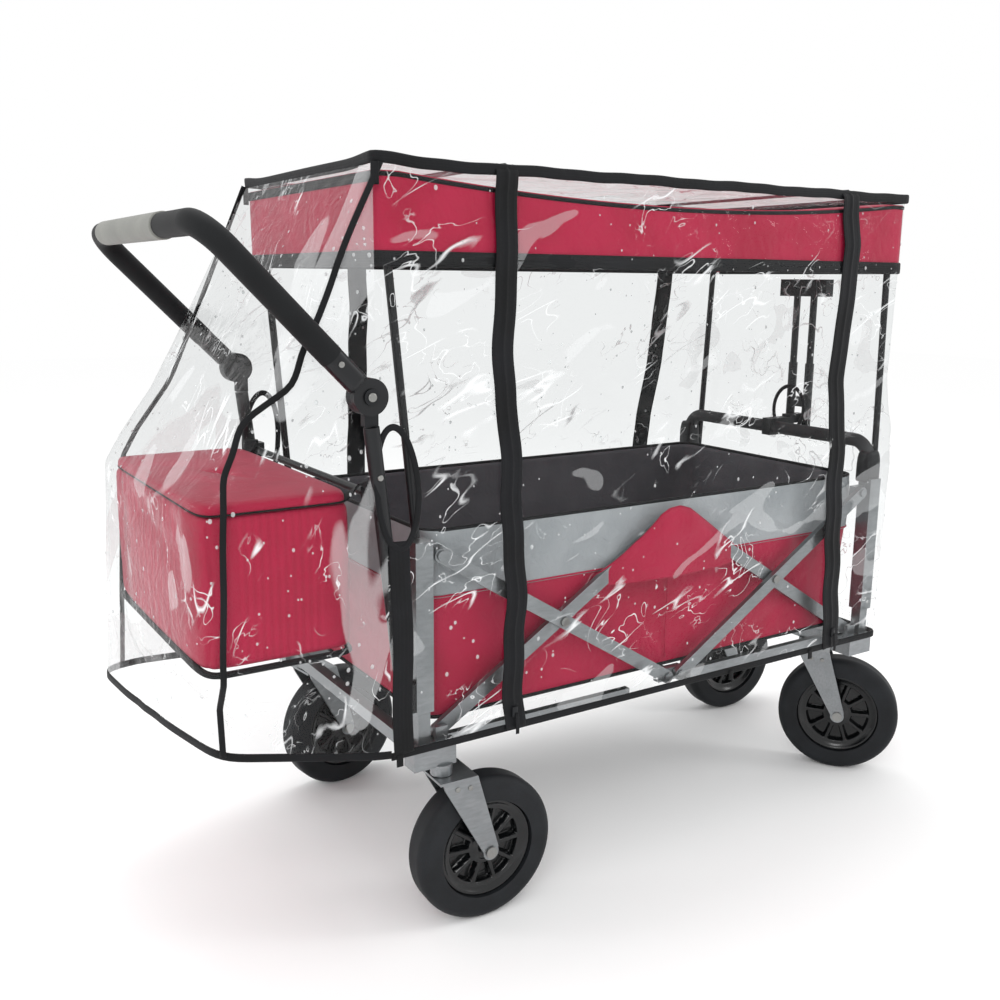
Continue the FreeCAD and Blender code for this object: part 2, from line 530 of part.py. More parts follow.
# rain cover: level sections (height, half width, front x, rear x) joined by flat panels
coverSections = [
    (dim("filmHem"), 276.5, 512, 835), (560, 273.5, 522, 808), (650, 267, 525, 800), (700, 262, 527, 784),
    (790, 245.5, 530, 722), (870, 244.5, 533.5, 658), (985, 243, 538, 597),
    (dim("filmTop"), 242.5, 542.5, 541.5),
]
tailY = 240                                          # half width of the tail behind the bag


def coverShell(ring, grow):
    """A closed solid through level rings, each grown outwards by grow."""
    rings = []
    for height, *corners in ring:
        top = height + (grow if height == dim("filmTop") else 0)
        points = [FreeCAD.Vector(x, y, top) for x, y in corners]
        rings.append(Part.makePolygon(points + points[:1]))
    return Part.makeLoft(rings, True, True)


def bodyRing(x0, x1, half):
    """The corners of a level ring of the cover's body."""
    return (x0, -half), (x1, -half), (x1, half), (x0, half)


def tailRing(x0, x1, outerHalf, seamHalf):
    """The corners of a level ring of the cover's tail, which narrows to the rear."""
    return (x0, -outerHalf), (x1, -seamHalf), (x1, seamHalf), (x0, outerHalf)


seamX = -dim("filmSeamX")
film = dim("filmThick")
lap = 9                                              # how far the hollow runs past the seam
bodyOuter, bodyInner, tailOuter, tailInner = [], [], [], []
for height, half, frontX, rearX in coverSections:
    tail = min(tailY, half)
    bodyOuter.append((height, *bodyRing(seamX, frontX, half)))
    bodyInner.append((height, *bodyRing(seamX - lap, frontX - film, half - film)))
    tailOuter.append((height, *tailRing(-rearX, seamX, tail, half)))
    tailInner.append((height, *tailRing(film - rearX, seamX + lap, tail - film, half - film)))


def hollowFilm(outer, inner):
    """The film between two solids, open underneath."""
    lowered = coverShell(inner, -film)
    first = inner[0][1:]
    skirt = Part.makePolygon([FreeCAD.Vector(x, y, dim("filmHem") - 5) for x, y in first + first[:1]])
    skirt = Part.Face(skirt).extrude(FreeCAD.Vector(0, 0, 6))
    return coverShell(outer, 0).cut([lowered, skirt])


# the stays pass through a slot on each side, and the pull handle through a slit in front
slots = [Part.makeBox(60, 60, 215, FreeCAD.Vector(-576, side * 260 - 30, 590)) for _, side in sides]
frontSlit = Part.makeBox(60, 72, 110, FreeCAD.Vector(500, -36, 640))
shaped("rain_cover_body", hollowFilm(bodyOuter, bodyInner).cut(slots + [frontSlit]))
shaped("rain_cover_tail", hollowFilm(tailOuter, tailInner).cut(slots))

doc.recompute()
failed = [item.Label for item in doc.Objects if "Invalid" in item.State or "Error" in item.State]
if failed:
    raise SystemExit(f"failed features: {failed}")
os.makedirs("parts", exist_ok=True)
for item in parts:
    if item.Shape.isNull() or not item.Shape.isValid() or not item.Shape.Solids:
        raise SystemExit(f"bad shape: {item.Label}")
    item.Shape.exportStep(f"parts/{item.Label}.step")
whole = FreeCAD.BoundBox()
for item in parts:
    whole.add(item.Shape.BoundBox)
print(len(parts), "sub-parts,", "box", whole)
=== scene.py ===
import json
import math

import bpy
import numpy as np
from mathutils import Matrix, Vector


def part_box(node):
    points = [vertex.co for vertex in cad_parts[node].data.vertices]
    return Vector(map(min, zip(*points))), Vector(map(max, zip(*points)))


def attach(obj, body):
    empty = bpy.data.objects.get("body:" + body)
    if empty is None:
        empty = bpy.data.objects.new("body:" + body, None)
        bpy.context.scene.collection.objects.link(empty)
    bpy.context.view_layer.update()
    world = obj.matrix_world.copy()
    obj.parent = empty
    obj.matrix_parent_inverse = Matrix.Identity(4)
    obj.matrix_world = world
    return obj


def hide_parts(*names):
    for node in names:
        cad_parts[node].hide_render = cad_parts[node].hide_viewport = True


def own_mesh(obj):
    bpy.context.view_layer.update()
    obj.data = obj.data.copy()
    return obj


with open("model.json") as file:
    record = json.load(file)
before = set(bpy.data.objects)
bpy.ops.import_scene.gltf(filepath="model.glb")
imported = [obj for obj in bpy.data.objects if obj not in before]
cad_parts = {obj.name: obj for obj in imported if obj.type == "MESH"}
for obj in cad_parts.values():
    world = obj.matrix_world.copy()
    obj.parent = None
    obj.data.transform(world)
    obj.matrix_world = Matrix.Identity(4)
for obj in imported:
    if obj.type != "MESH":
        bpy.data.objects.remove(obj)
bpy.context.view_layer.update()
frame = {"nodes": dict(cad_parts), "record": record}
nodes = frame["nodes"]
print("frame loaded:", len(nodes), "nodes")

# the wagon's middle lies halfway between its rear and front posts
midX = (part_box("rear_posts")[0].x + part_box("front_posts")[1].x) / 2
filmSeam = -0.540


# shapes shared by the pieces


def place(points):
    # metres from the wagon's middle, to the row frame
    return np.asarray(points, float) + np.array([midX, 0.0, 0.0])


def unit(vectors):
    return vectors / np.maximum(np.linalg.norm(vectors, axis=-1, keepdims=True), 1e-12)


def through(points, count, closed=False):
    # a smooth curve through the points: cubic pieces whose slopes are the differences of the neighbours
    knots = np.array(points, float)
    if closed:
        knots = np.vstack([knots[-2:], knots, knots[:3]])
    steps = np.linalg.norm(np.diff(knots, axis=0), axis=1)
    reach = np.concatenate([[0], np.cumsum(steps)])
    slopes = np.gradient(knots, reach, axis=0)
    first, last = (reach[2], reach[-3]) if closed else (reach[0], reach[-1])
    t = np.linspace(first, last, count, endpoint=not closed)
    i = np.clip(np.searchsorted(reach, t, side="right") - 1, 0, len(reach) - 2)
    h = (reach[i + 1] - reach[i])[:, None]
    u = (t - reach[i])[:, None] / h
    return (
        (2 * u**3 - 3 * u**2 + 1) * knots[i]
        + (u**3 - 2 * u**2 + u) * h * slopes[i]
        + (3 * u**2 - 2 * u**3) * knots[i + 1]
        + (u**3 - u**2) * h * slopes[i + 1]
    )


def fullTurn(count):
    return np.linspace(0, 2 * math.pi, count, endpoint=False)


def squared(angle, power):
    # the two coordinates of |x|^power + |y|^power = 1 at these angles
    c, s = np.cos(angle), np.sin(angle)
    return np.sign(c) * np.abs(c) ** (2 / power), np.sign(s) * np.abs(s) ** (2 / power)


def roundBox(halfX, halfY, radius, count):
    # outline of a rectangle with round corners, evenly spaced, from the middle of its -Y side towards +X
    corner = np.linspace(0, math.pi / 2, 9)
    line = [[0.0, -halfY]]
    for k, (sx, sy) in enumerate([(1, -1), (1, 1), (-1, 1), (-1, -1)]):
        angle = corner - math.pi / 2 + k * math.pi / 2
        centre = np.array([sx * (halfX - radius), sy * (halfY - radius)])
        line += (centre + radius * np.stack([np.cos(angle), np.sin(angle)], 1)).tolist()
    line = np.array(line + [[0.0, -halfY]])
    reach = np.concatenate([[0], np.cumsum(np.linalg.norm(np.diff(line, axis=0), axis=1))])
    t = np.linspace(0, reach[-1], count, endpoint=False)
    return np.stack([np.interp(t, reach, line[:, 0]), np.interp(t, reach, line[:, 1])], 1)


def roundCorners(ring, s):
    # outward direction along a rounded rectangle: how far each point lies past the centres of its corners
    past = np.abs(ring) - (np.array([s["halfX"], s["halfY"]]) - s["corner"])
    return np.column_stack([np.sign(ring) * np.clip(past, 0, 1), np.zeros(len(ring))])


def creases(a, b, settings):
    # a sum of ridges, each height * exp(-(across / width)^2 - (along / reach)^2) round a random centre
    random = np.random.default_rng(settings["seed"])
    total = np.zeros(np.broadcast(a, b).shape)
    for _ in range(settings["count"]):
        ca = random.uniform(np.min(a), np.max(a))
        cb = random.uniform(np.min(b), np.max(b))
        turn = random.normal(settings["lean"], settings["spread"])
        along = (a - ca) * math.cos(turn) + (b - cb) * math.sin(turn)
        across = (b - cb) * math.cos(turn) - (a - ca) * math.sin(turn)
        along = along / (settings["reach"] * random.uniform(0.5, 1.5))
        across = across / (settings["width"] * random.uniform(0.6, 1.6))
        total += settings["height"] * random.uniform(-0.7, 1.0) * np.exp(-(across**2) - along**2)
    return total


def gridFaces(rows, columns, loopRows=False, loopColumns=False):
    # four corners of each cell of a grid, closed round in either direction if it loops
    r = np.arange(rows if loopRows else rows - 1)[:, None]
    c = np.arange(columns if loopColumns else columns - 1)[None, :]
    nextRow, nextColumn = (r + 1) % rows, (c + 1) % columns
    here, below = r * columns, nextRow * columns
    corners = [here + c, here + nextColumn, below + nextColumn, below + c]
    return np.stack(np.broadcast_arrays(*corners), axis=-1).reshape(-1, 4)


def facingOut(points, faces):
    # faces turned round where the sum of their corners' volumes, seen from the middle, is negative
    quads = faces if faces.shape[1] == 4 else np.column_stack([faces, faces[:, 2]])
    a, b, c, d = (points[quads[:, k]] - points.mean(axis=0) for k in range(4))
    bulk = np.sum(a * np.cross(b - a, c - a)) + np.sum(a * np.cross(c - a, d - a))
    return faces[:, ::-1] if bulk < 0 else faces


def addPiece(name, points, faces, material, body, uv=None, replaced=(), caps=(), inward=False):
    # a mesh piece with its faces outwards, riding on a body
    points = np.asarray(points, float).reshape(-1, 3)
    turned = facingOut(points, faces)
    if inward:
        turned = turned[:, ::-1]
    flipped = turned[0, 0] != faces[0, 0]
    mesh = bpy.data.meshes.new(name)
    mesh.from_pydata(points, [], turned.tolist() + [cap[::-1] if flipped else cap for cap in caps])
    mesh.polygons.foreach_set("use_smooth", np.full(len(mesh.polygons), True))
    if uv is not None:
        corners = np.zeros(len(mesh.loops), np.int32)
        mesh.loops.foreach_get("vertex_index", corners)
        layer = mesh.uv_layers.new(name="cloth")
        layer.data.foreach_set("uv", np.asarray(uv, np.float32).reshape(-1, 2)[corners].ravel())
    mesh.materials.append(material)
    mesh.validate()
    piece = bpy.data.objects.new(name, mesh)
    bpy.context.scene.collection.objects.link(piece)
    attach(piece, body)
    if replaced:
        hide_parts(*replaced)
    return piece


def addSheet(name, points, material, body, loops=(False, False), thickness=0.0, keep=None, replaced=(),
             inward=False):
    # a grid of points (rows, columns, 3) as a surface, with a UV map in metres along its rows and columns
    rows, columns = points.shape[:2]
    down = np.linalg.norm(np.diff(points, axis=0), axis=2).mean(axis=1)
    over = np.linalg.norm(np.diff(points, axis=1), axis=2).mean(axis=0)
    v = np.concatenate([[0], np.cumsum(down)])[:, None] + np.zeros((1, columns))
    u = np.concatenate([[0], np.cumsum(over)])[None, :] + np.zeros((rows, 1))
    faces = gridFaces(rows, columns, *loops)
    if keep is not None:
        faces = faces[keep.ravel()[faces].all(axis=1)]
    piece = addPiece(name, points, faces, material, body, np.stack([u, v], 2), replaced=replaced,
                     inward=inward)
    if thickness:
        solid = piece.modifiers.new("thickness", "SOLIDIFY")
        solid.thickness = thickness
        solid.offset = -1
    return piece


def ribbon(width, depth, power=4.0, count=12):
    # a flat closed profile: |across / width|^power + |out / depth|^power = 1
    across, out = squared(fullTurn(count), power)
    return np.stack([width / 2 * across, depth / 2 * out], 1)


def sweep(name, path, outward, profile, material, body, closed=False):
    # the profile carried along the path: path + across * side + out * outward, with side square to both
    path = np.asarray(path, float)
    if closed:
        tangent = np.roll(path, -1, axis=0) - np.roll(path, 1, axis=0)
    else:
        tangent = np.gradient(path, axis=0)
    tangent = unit(tangent)
    outward = np.broadcast_to(np.asarray(outward, float), path.shape)
    side = unit(np.cross(tangent, outward))
    out = unit(np.cross(side, tangent))
    rings = path[:, None] + profile[None, :, :1] * side[:, None] + profile[None, :, 1:] * out[:, None]
    rows, columns = rings.shape[:2]
    faces = gridFaces(rows, columns, closed, True)
    ends = list(range(columns))
    caps = [] if closed else [ends[::-1], [k + (rows - 1) * columns for k in ends]]
    around = np.linspace(0, np.abs(profile).max() * 4, columns)
    reach = np.concatenate([[0], np.cumsum(np.linalg.norm(np.diff(path, axis=0), axis=1))])
    uv = np.stack(np.broadcast_arrays(around[None, :], reach[:, None]), 2)
    return addPiece(name, rings, faces, material, body, uv, caps=caps)


def squashWith(piece):
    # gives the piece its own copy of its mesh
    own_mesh(piece)
    return piece


def addTrim(name, path, outward, profile, closed=False, material=None, slot="black_plastic"):
    # a strip of trim on the rear carriage, black webbing unless another material is given
    return sweep(name, path, outward, profile, material or blackWebbing, "rear_carriage", closed)


# materials


def linear(hexColour):
    # an sRGB hex colour as linear values
    channels = [int(hexColour[i : i + 2], 16) / 255 for i in (1, 3, 5)]
    return [c / 12.92 if c <= 0.04045 else ((c + 0.055) / 1.055) ** 2.4 for c in channels] + [1.0]


def addNode(tree, kind, settings=None, links=None):
    # settings go to an input of that name or number, or else to the node itself; a linked node gives its
    # first output
    node = tree.nodes.new("ShaderNode" + kind)
    for key, value in (settings or {}).items():
        if isinstance(key, int) or key in node.inputs:
            node.inputs[key].default_value = value
        else:
            setattr(node, key, value)
    for socket, source in (links or {}).items():
        start = source.outputs[0] if isinstance(source, bpy.types.Node) else source
        tree.links.new(start, node.inputs[socket])
    return node


def startMaterial(name):
    material = bpy.data.materials.new(name)
    material.use_nodes = True
    tree = material.node_tree
    tree.nodes.clear()
    return material, tree, addNode(tree, "TexCoord").outputs


def grainedMaterial(name, s):
    # two tones mixed by a grain and a broad cloud; the grain also lifts the surface and shifts the gloss
    material, tree, coords = startMaterial(name)
    stretched = addNode(tree, "Mapping", {"Scale": s.get("stretch", (1, 1, 1))}, {"Vector": coords["Object"]})
    grain = addNode(tree, "TexNoise", {"Scale": 1000 / s["grainMm"], "Detail": 4, "Roughness": 0.6},
                    {"Vector": stretched})
    cloud = addNode(tree, "TexNoise", {"Scale": 1000 / s.get("cloudMm", 60), "Detail": 3},
                    {"Vector": coords["Object"]})
    both = addNode(tree, "Math", {"operation": "MULTIPLY"}, {0: grain, 1: cloud})
    share = addNode(tree, "MapRange", {"From Min": 0.12, "From Max": 0.42}, {"Value": both})
    tone = addNode(tree, "Mix", {"data_type": "RGBA", 6: linear(s["tones"][0]), 7: linear(s["tones"][1])},
                   {0: share})
    gloss = addNode(tree, "MapRange", {"To Min": s["roughness"][0], "To Max": s["roughness"][1]},
                    {"Value": grain})
    lift = addNode(tree, "Bump", {"Strength": s.get("bump", 0.3), "Distance": s.get("heightMm", 0.1) / 1000},
                   {"Height": grain})
    shader = addNode(tree, "BsdfPrincipled", s.get("shader"),
                     {"Base Color": tone.outputs[2], "Roughness": gloss, "Normal": lift})
    addNode(tree, "OutputMaterial", None, {"Surface": shader})
    return material


def wovenMaterial(name, s):
    # two sets of threads crossing on the piece's UV map, in metres, a broad change of tone and fold marks
    material, tree, coords = startMaterial(name)
    rate = 2 * math.pi / (20 * s["threadMm"] / 1000)
    warp = addNode(tree, "TexWave", {"Scale": rate, "bands_direction": "X", "Distortion": 0.4},
                   {"Vector": coords["UV"]})
    weft = addNode(tree, "TexWave", {"Scale": rate, "bands_direction": "Y", "Distortion": 0.4},
                   {"Vector": coords["UV"]})
    threads = addNode(tree, "Math", {"operation": "MULTIPLY"},
                      {0: warp.outputs["Fac"], 1: weft.outputs["Fac"]})
    cloud = addNode(tree, "TexNoise", {"Scale": 1000 / s.get("cloudMm", 90), "Detail": 3},
                    {"Vector": coords["Object"]})
    crinkle = addNode(tree, "TexNoise",
                      {"Scale": 1000 / s.get("crinkleMm", 28), "Detail": 3, "Distortion": 1.5},
                      {"Vector": coords["Object"]})
    share = addNode(tree, "MapRange", {"From Min": 0.35, "From Max": 0.65}, {"Value": cloud})
    tone = addNode(tree, "Mix", {"data_type": "RGBA", 6: linear(s["tones"][0]), 7: linear(s["tones"][1])},
                   {0: share})
    dip = addNode(tree, "MapRange", {"To Min": 0.82, "To Max": 1.06}, {"Value": threads})
    shaded = addNode(tree, "VectorMath", {"operation": "SCALE"}, {0: tone.outputs[2], "Scale": dip})
    fold = addNode(tree, "Bump", {"Strength": s.get("foldBump", 0.5), "Distance": 0.004}, {"Height": crinkle})
    lift = addNode(tree, "Bump", {"Strength": s.get("bump", 0.35), "Distance": 0.0004},
                   {"Height": threads, "Normal": fold})
    shader = addNode(tree, "BsdfPrincipled", s.get("shader"), {"Base Color": shaded, "Normal": lift})
    addNode(tree, "OutputMaterial", None, {"Surface": shader})
    return material


def filmMaterial(name, s):
    # clear film: light passes, more is thrown back at grazing angles, and white is painted on as highlights
    # along the creases, as glare patches and as a veil
    material, tree, coords = startMaterial(name)
    crinkle = addNode(tree, "TexNoise", {"Scale": 1000 / s["crinkleMm"], "Detail": 4, "Distortion": 2.5},
                      {"Vector": coords["Object"]})
    bump = addNode(tree, "Bump", {"Strength": s["bump"], "Distance": 0.006}, {"Height": crinkle})
    # thin lines along the wrinkles, kept only in scattered patches: painted highlights standing for light caught
    # on the creases
    lines = []
    for size, stretch, wander, width in ((s["wrinkleMm"], 5.5, 0.35, 0.010),
                                         (s["wrinkleMm"] * 0.6, 1.6, 1.1, 0.009)):
        slanted = addNode(tree, "Mapping",
                          {"vector_type": "TEXTURE", "Rotation": s["lean"], "Scale": (stretch, 1, 1)},
                          {"Vector": coords["Object"]})
        wrinkle = addNode(tree, "TexNoise", {"Scale": 1000 / size, "Detail": 2.5, "Distortion": wander},
                          {"Vector": slanted})
        apart = addNode(tree, "Math", {"operation": "SUBTRACT", 1: 0.5}, {0: wrinkle})
        distance = addNode(tree, "Math", {"operation": "ABSOLUTE"}, {0: apart})
        lines.append(addNode(tree, "MapRange", {"From Min": width, "From Max": 0.001}, {"Value": distance}))
    line = addNode(tree, "Math", {"operation": "MAXIMUM"}, {0: lines[0], 1: lines[1]})
    patch = addNode(tree, "TexNoise", {"Scale": 1000 / s["patchMm"], "Detail": 2},
                    {"Vector": coords["Object"]})
    where = addNode(tree, "MapRange", {"From Min": 0.52, "From Max": 0.62, "To Max": s["paintedHighlight"]},
                    {"Value": patch})
    paintedLines = addNode(tree, "Math", {"operation": "MULTIPLY"}, {0: line, 1: where})
    # broad whitish patches with crisp edges: painted glare standing for reflections of the softboxes in the film
    leaning = addNode(tree, "Mapping",
                      {"vector_type": "TEXTURE", "Rotation": s["lean"], "Scale": (2.4, 1, 1)},
                      {"Vector": coords["Object"]})
    broad = addNode(tree, "TexNoise",
                    {"Scale": 1000 / s["glareMm"], "Detail": 2.5, "Roughness": 0.35, "Distortion": 0.9},
                    {"Vector": leaning})
    glare = addNode(tree, "MapRange",
                    {"From Min": s["glareFrom"], "From Max": s["glareFrom"] + 0.008, "To Max": s["glare"]},
                    {"Value": broad})
    whole = addNode(tree, "Math", {"operation": "MAXIMUM"}, {0: paintedLines, 1: glare})
    # a white veil laid over the whole surface: painted reflection
    paintedVeil = addNode(tree, "Math", {"operation": "ADD", 1: s["paintedVeil"]}, {0: whole})
    edge = addNode(tree, "LayerWeight", {"Blend": 0.5}, {"Normal": bump})
    grazing = addNode(tree, "Math", {"operation": "POWER", 1: 4.5}, {0: edge.outputs["Facing"]})
    mirror = addNode(tree, "Math", {"operation": "MULTIPLY_ADD", 1: 0.55, 2: 0.014}, {0: grazing})
    clear = addNode(tree, "BsdfTransparent", {"Color": linear(s["tint"])})
    shine = addNode(tree, "BsdfAnisotropic", {"Roughness": 0.06}, {"Normal": bump})
    glassy = addNode(tree, "MixShader", None, {0: mirror, 1: clear, 2: shine})
    # this white layer, mixed in by the mask above, is the painted highlight and painted reflection itself
    white = addNode(tree, "BsdfPrincipled", {"Base Color": linear("#F3F5F6"), "Roughness": 0.25},
                    {"Normal": bump})
    both = addNode(tree, "MixShader", None, {0: paintedVeil, 1: glassy, 2: white})
    addNode(tree, "OutputMaterial", None, {"Surface": both})
    return material


finishes = {
    # extruded aluminium, satin: a cool grey with faint lines along the tube and a soft broad shine
    "aluminium": grainedMaterial("satin extruded aluminium", {
        "tones": ("#7E8183", "#939698"), "grainMm": 2.5, "stretch": (0.12, 1, 0.6),
        "roughness": (0.28, 0.40), "bump": 0.05, "heightMm": 0.05, "shader": {"Metallic": 0.9}}),
    # zinc plated pressed steel: brighter and blotchy, with small scuffs
    "steel": grainedMaterial("zinc plated pressed steel", {
        "tones": ("#858583", "#999996"), "grainMm": 1.2, "cloudMm": 60, "roughness": (0.30, 0.42),
        "bump": 0.06, "shader": {"Metallic": 0.92}}),
    # black powder coat: near black with a fine orange peel and a soft shine
    "black_tube": grainedMaterial("black powder coated tube", {
        "tones": ("#08090B", "#121418"), "grainMm": 1.6, "roughness": (0.34, 0.48), "bump": 0.25,
        "shader": {"Coat Weight": 0.06, "Specular IOR Level": 0.35}}),
    # moulded nylon: blue-black, satin, with a fine spark texture
    "black_plastic": grainedMaterial("moulded black nylon", {
        "tones": ("#0A0C0F", "#16181C"), "grainMm": 1.2, "roughness": (0.40, 0.56), "bump": 0.3,
        "shader": {"Specular IOR Level": 0.3}}),
    # foam sleeve: black, very matt, open-pored skin
    "foam": grainedMaterial("black foam sleeve", {
        "tones": ("#08090B", "#141618"), "grainMm": 1.0, "roughness": (0.62, 0.8), "bump": 0.5,
        "heightMm": 0.25, "shader": {"Sheen Weight": 0.04, "Sheen Roughness": 0.4, "Specular IOR Level": 0.25}}),
    # solid rubber tyre: blue-black, matt, dusty in places
    "tyre": grainedMaterial("solid black rubber", {
        "tones": ("#0E1013", "#1C1F23"), "grainMm": 2.0, "cloudMm": 45, "roughness": (0.55, 0.72),
        "bump": 0.3, "shader": {"Specular IOR Level": 0.3}}),
    # glossy moulded polypropylene rim
    "rim_plastic": grainedMaterial("gloss black polypropylene", {
        "tones": ("#060708", "#0E1012"), "grainMm": 6, "roughness": (0.16, 0.3), "bump": 0.08,
        "shader": {"Coat Weight": 0.1, "Specular IOR Level": 0.4}}),
}
crimsonCloth = wovenMaterial("crimson coated polyester", {  # plain weave, coated; threads drawn coarse
    "tones": ("#AE0F3A", "#BC1844"), "threadMm": 1.1,
    "shader": {"Roughness": 0.5, "Sheen Weight": 0.04, "Sheen Roughness": 0.5, "Specular IOR Level": 0.25}})
greyCloth = wovenMaterial("light grey polyester", {  # same cloth, undyed silver grey
    "tones": ("#9BA0A3", "#ADB1B4"), "threadMm": 1.1,
    "shader": {"Roughness": 0.6, "Sheen Weight": 0.05, "Sheen Roughness": 0.5}})
linerCloth = wovenMaterial("charcoal oxford liner", {  # heavier oxford weave, dark and matt
    "tones": ("#56555A", "#656469"), "threadMm": 1.6,
    "shader": {"Roughness": 0.75, "Specular IOR Level": 0.2}})
blackWebbing = wovenMaterial("black nylon webbing", {  # fine ribs across the tape, a dull sheen
    "tones": ("#08090B", "#121317"), "threadMm": 1.8, "bump": 0.6, "foldBump": 0.2,
    "shader": {"Roughness": 0.6, "Sheen Weight": 0.03, "Sheen Roughness": 0.5, "Specular IOR Level": 0.2}})
greyVinyl = grainedMaterial("grey leathercloth", {  # soft grained vinyl round the middle of the handle
    "tones": ("#6F706B", "#84847E"), "grainMm": 1.4, "roughness": (0.45, 0.6), "bump": 0.5, "heightMm": 0.2})
padCloth = grainedMaterial("dark grey neoprene", {  # padded sleeve of the end rail
    "tones": ("#232426", "#343537"), "grainMm": 0.9, "roughness": (0.7, 0.85), "bump": 0.4})
# in both films the white lines, the white patches and the white veil are painted highlights and painted
# reflections
clearFilm = filmMaterial("clear vinyl film", {
    "crinkleMm": 70, "bump": 0.4, "wrinkleMm": 90, "patchMm": 110, "paintedHighlight": 0.75, "paintedVeil": 0.0,
    "tint": "#F6F7F7", "glareMm": 90, "glareFrom": 0.655, "glare": 0.17, "lean": (0.1, -0.45, 0.15)})
tailFilm = filmMaterial("clear vinyl film, draped", {
    "crinkleMm": 60, "bump": 0.5, "wrinkleMm": 80, "patchMm": 90, "paintedHighlight": 0.8, "paintedVeil": 0.0,
    "tint": "#F4F5F5", "glareMm": 150, "glareFrom": 0.60, "glare": 0.24, "lean": (0.3, -1.0, 0.5)})
# the drops' whiteness is a painted veil and painted highlights in their material, standing for light caught on
# the beads
dropGlass = filmMaterial("water drops", {
    "crinkleMm": 10, "bump": 0.0, "wrinkleMm": 5, "patchMm": 5, "paintedHighlight": 0.3, "paintedVeil": 0.42, "tint": "#E0E4E4",
    "glareMm": 30, "glareFrom": 0.9, "glare": 0.1, "lean": (0.0, 0.0, 0.0)})

looks = dict(finishes, red_fabric=crimsonCloth, mat_fabric=linerCloth, clear_film=clearFilm)
for name, node in nodes.items():
    for k, material in enumerate(node.data.materials):
        key = material.name.split(".")[0] if material else ""
        found = next((s for s in looks if s in key), None)
        if found:
            node.data.materials[k] = looks[found]
        else:
            print("no finish for", name, key)
for name, material in (("front_end_rail", padCloth), ("pull_handle_sleeves", finishes["black_tube"])):
    for k in range(len(nodes[name].data.materials)):
        nodes[name].data.materials[k] = material
print("finishes made")

# spoked rims

rimPlan = {"outer": 0.0775, "lip": 0.0195, "well": 0.066, "web": 0.0125, "pocket": -0.0005, "spokes": 10,
           "spokeHalf": 0.0030, "inner": 0.027, "hub": 0.0165, "hubHigh": 0.0185}


def makeRimFace(s, columns=240):
    # height over the wheel's middle plane at (radius, angle): lip, well, web with wedge pockets, hub boss
    radius = np.concatenate([np.linspace(0.0065, 0.024, 10), np.linspace(0.0255, 0.064, 34),
                             np.linspace(0.0655, s["outer"], 12)])
    angle = fullTurn(columns)
    r, a = np.meshgrid(radius, angle, indexing="ij")
    pitch = 2 * math.pi / s["spokes"]
    toSpoke = np.abs((a + pitch / 2) % pitch - pitch / 2) * r
    across = np.clip((toSpoke - s["spokeHalf"]) / 0.0022, 0, 1)
    along = np.clip((r - s["inner"]) / 0.0025, 0, 1) * np.clip((0.0605 - r) / 0.0025, 0, 1)
    pocket = (3 * across**2 - 2 * across**3) * (3 * along**2 - 2 * along**3)
    knots = [0.0, 0.0155, 0.0170, 0.0215, 0.0600, 0.0665, 0.0700, 0.0735, 0.0765, 0.0775]
    heights = [s["hubHigh"], s["hubHigh"], s["hubHigh"] - 0.001, s["web"] + 0.002, s["web"],
               s["web"] + 0.002, 0.0165, 0.0192, 0.0195, 0.0180]
    web = np.interp(r, knots, heights)
    return r * np.cos(a), r * np.sin(a), web - pocket * (s["web"] - s["pocket"])


joints = {joint["name"]: joint for joint in frame["record"]["behaviour"]["joints"]}
for corner in ("rear_right", "rear_left", "front_right", "front_left"):
    spin = joints[corner + "_spin"]
    centre, axis = np.array(spin["pos_m"], float), unit(np.array(spin["axis"], float))
    up = np.array([0.0, 0.0, 1.0])
    u, v, h = (part[..., None] for part in makeRimFace(rimPlan))
    disc = centre + u * np.cross(axis, up) + v * up
    outerFace, innerFace = disc + h * axis, disc - h * axis
    shell = np.concatenate([outerFace, innerFace[::-1]], axis=0)
    faces = gridFaces(*shell.shape[:2], True, True)
    addPiece(corner + "_spoked_rim", shell, faces, finishes["rim_plastic"], corner + "_wheel",
             replaced=[corner + "_rim"])
print("rims made")

# canopy

canopyPlan = {"halfX": 0.5372, "halfY": 0.2398, "corner": 0.012, "top": 1.1055, "low": 0.9835, "sag": 0.034,
              "around": 320, "down": 14, "inward": 22, "hemUp": 0.0070, "hemBand": (0.0208, 0.0064),
              "piping": (0.0062, 0.0034), "rearBand": (0.0135, 0.0024)}


def canopyTop(x, y, s):
    # height of the roof: full at the two bows, and hanging as a parabola between them
    along = np.clip(np.abs(x) / 0.50, 0, 1)
    return s["top"] - s["sag"] * (1 - along**2) * (0.75 + 0.25 * (1 - (y / s["halfY"]) ** 2))


def makeCanopy(s):
    # one sheet: the ring round the edge is carried up the valance, over the fold and in to the ridge line
    ring = roundBox(s["halfX"], s["halfY"], s["corner"], s["around"])
    edge = canopyTop(ring[:, 0], ring[:, 1], s)
    rows = []
    for t in np.linspace(0, 1, s["down"]):
        height = s["low"] + (edge - 0.006 - s["low"]) * t
        reach = np.arctan2(ring[:, 1], ring[:, 0]) * 3
        sway = 0.0006 * np.sin(ring[:, 0] * 55 + ring[:, 1] * 70) * (1 - t)
        sway += 0.0004 * np.sin(reach * 17 + 4 * t)
        shrink = 1 - (0.0006 + sway) / s["halfY"] * (0.4 + 0.6 * (1 - t))
        rows.append(np.stack([ring[:, 0] * (1 - (1 - shrink) * 0.4), ring[:, 1] * shrink, height], 1))
    for t in np.linspace(0.012, 1, s["inward"]) ** 1.3:
        x = ring[:, 0] * (1 - t * s["halfY"] / s["halfX"])
        y = ring[:, 1] * (1 - t)
        rows.append(np.stack([x, y, canopyTop(x, y, s) - 0.003 * (1 - t) ** 8], 1))
    return place(np.array(rows))


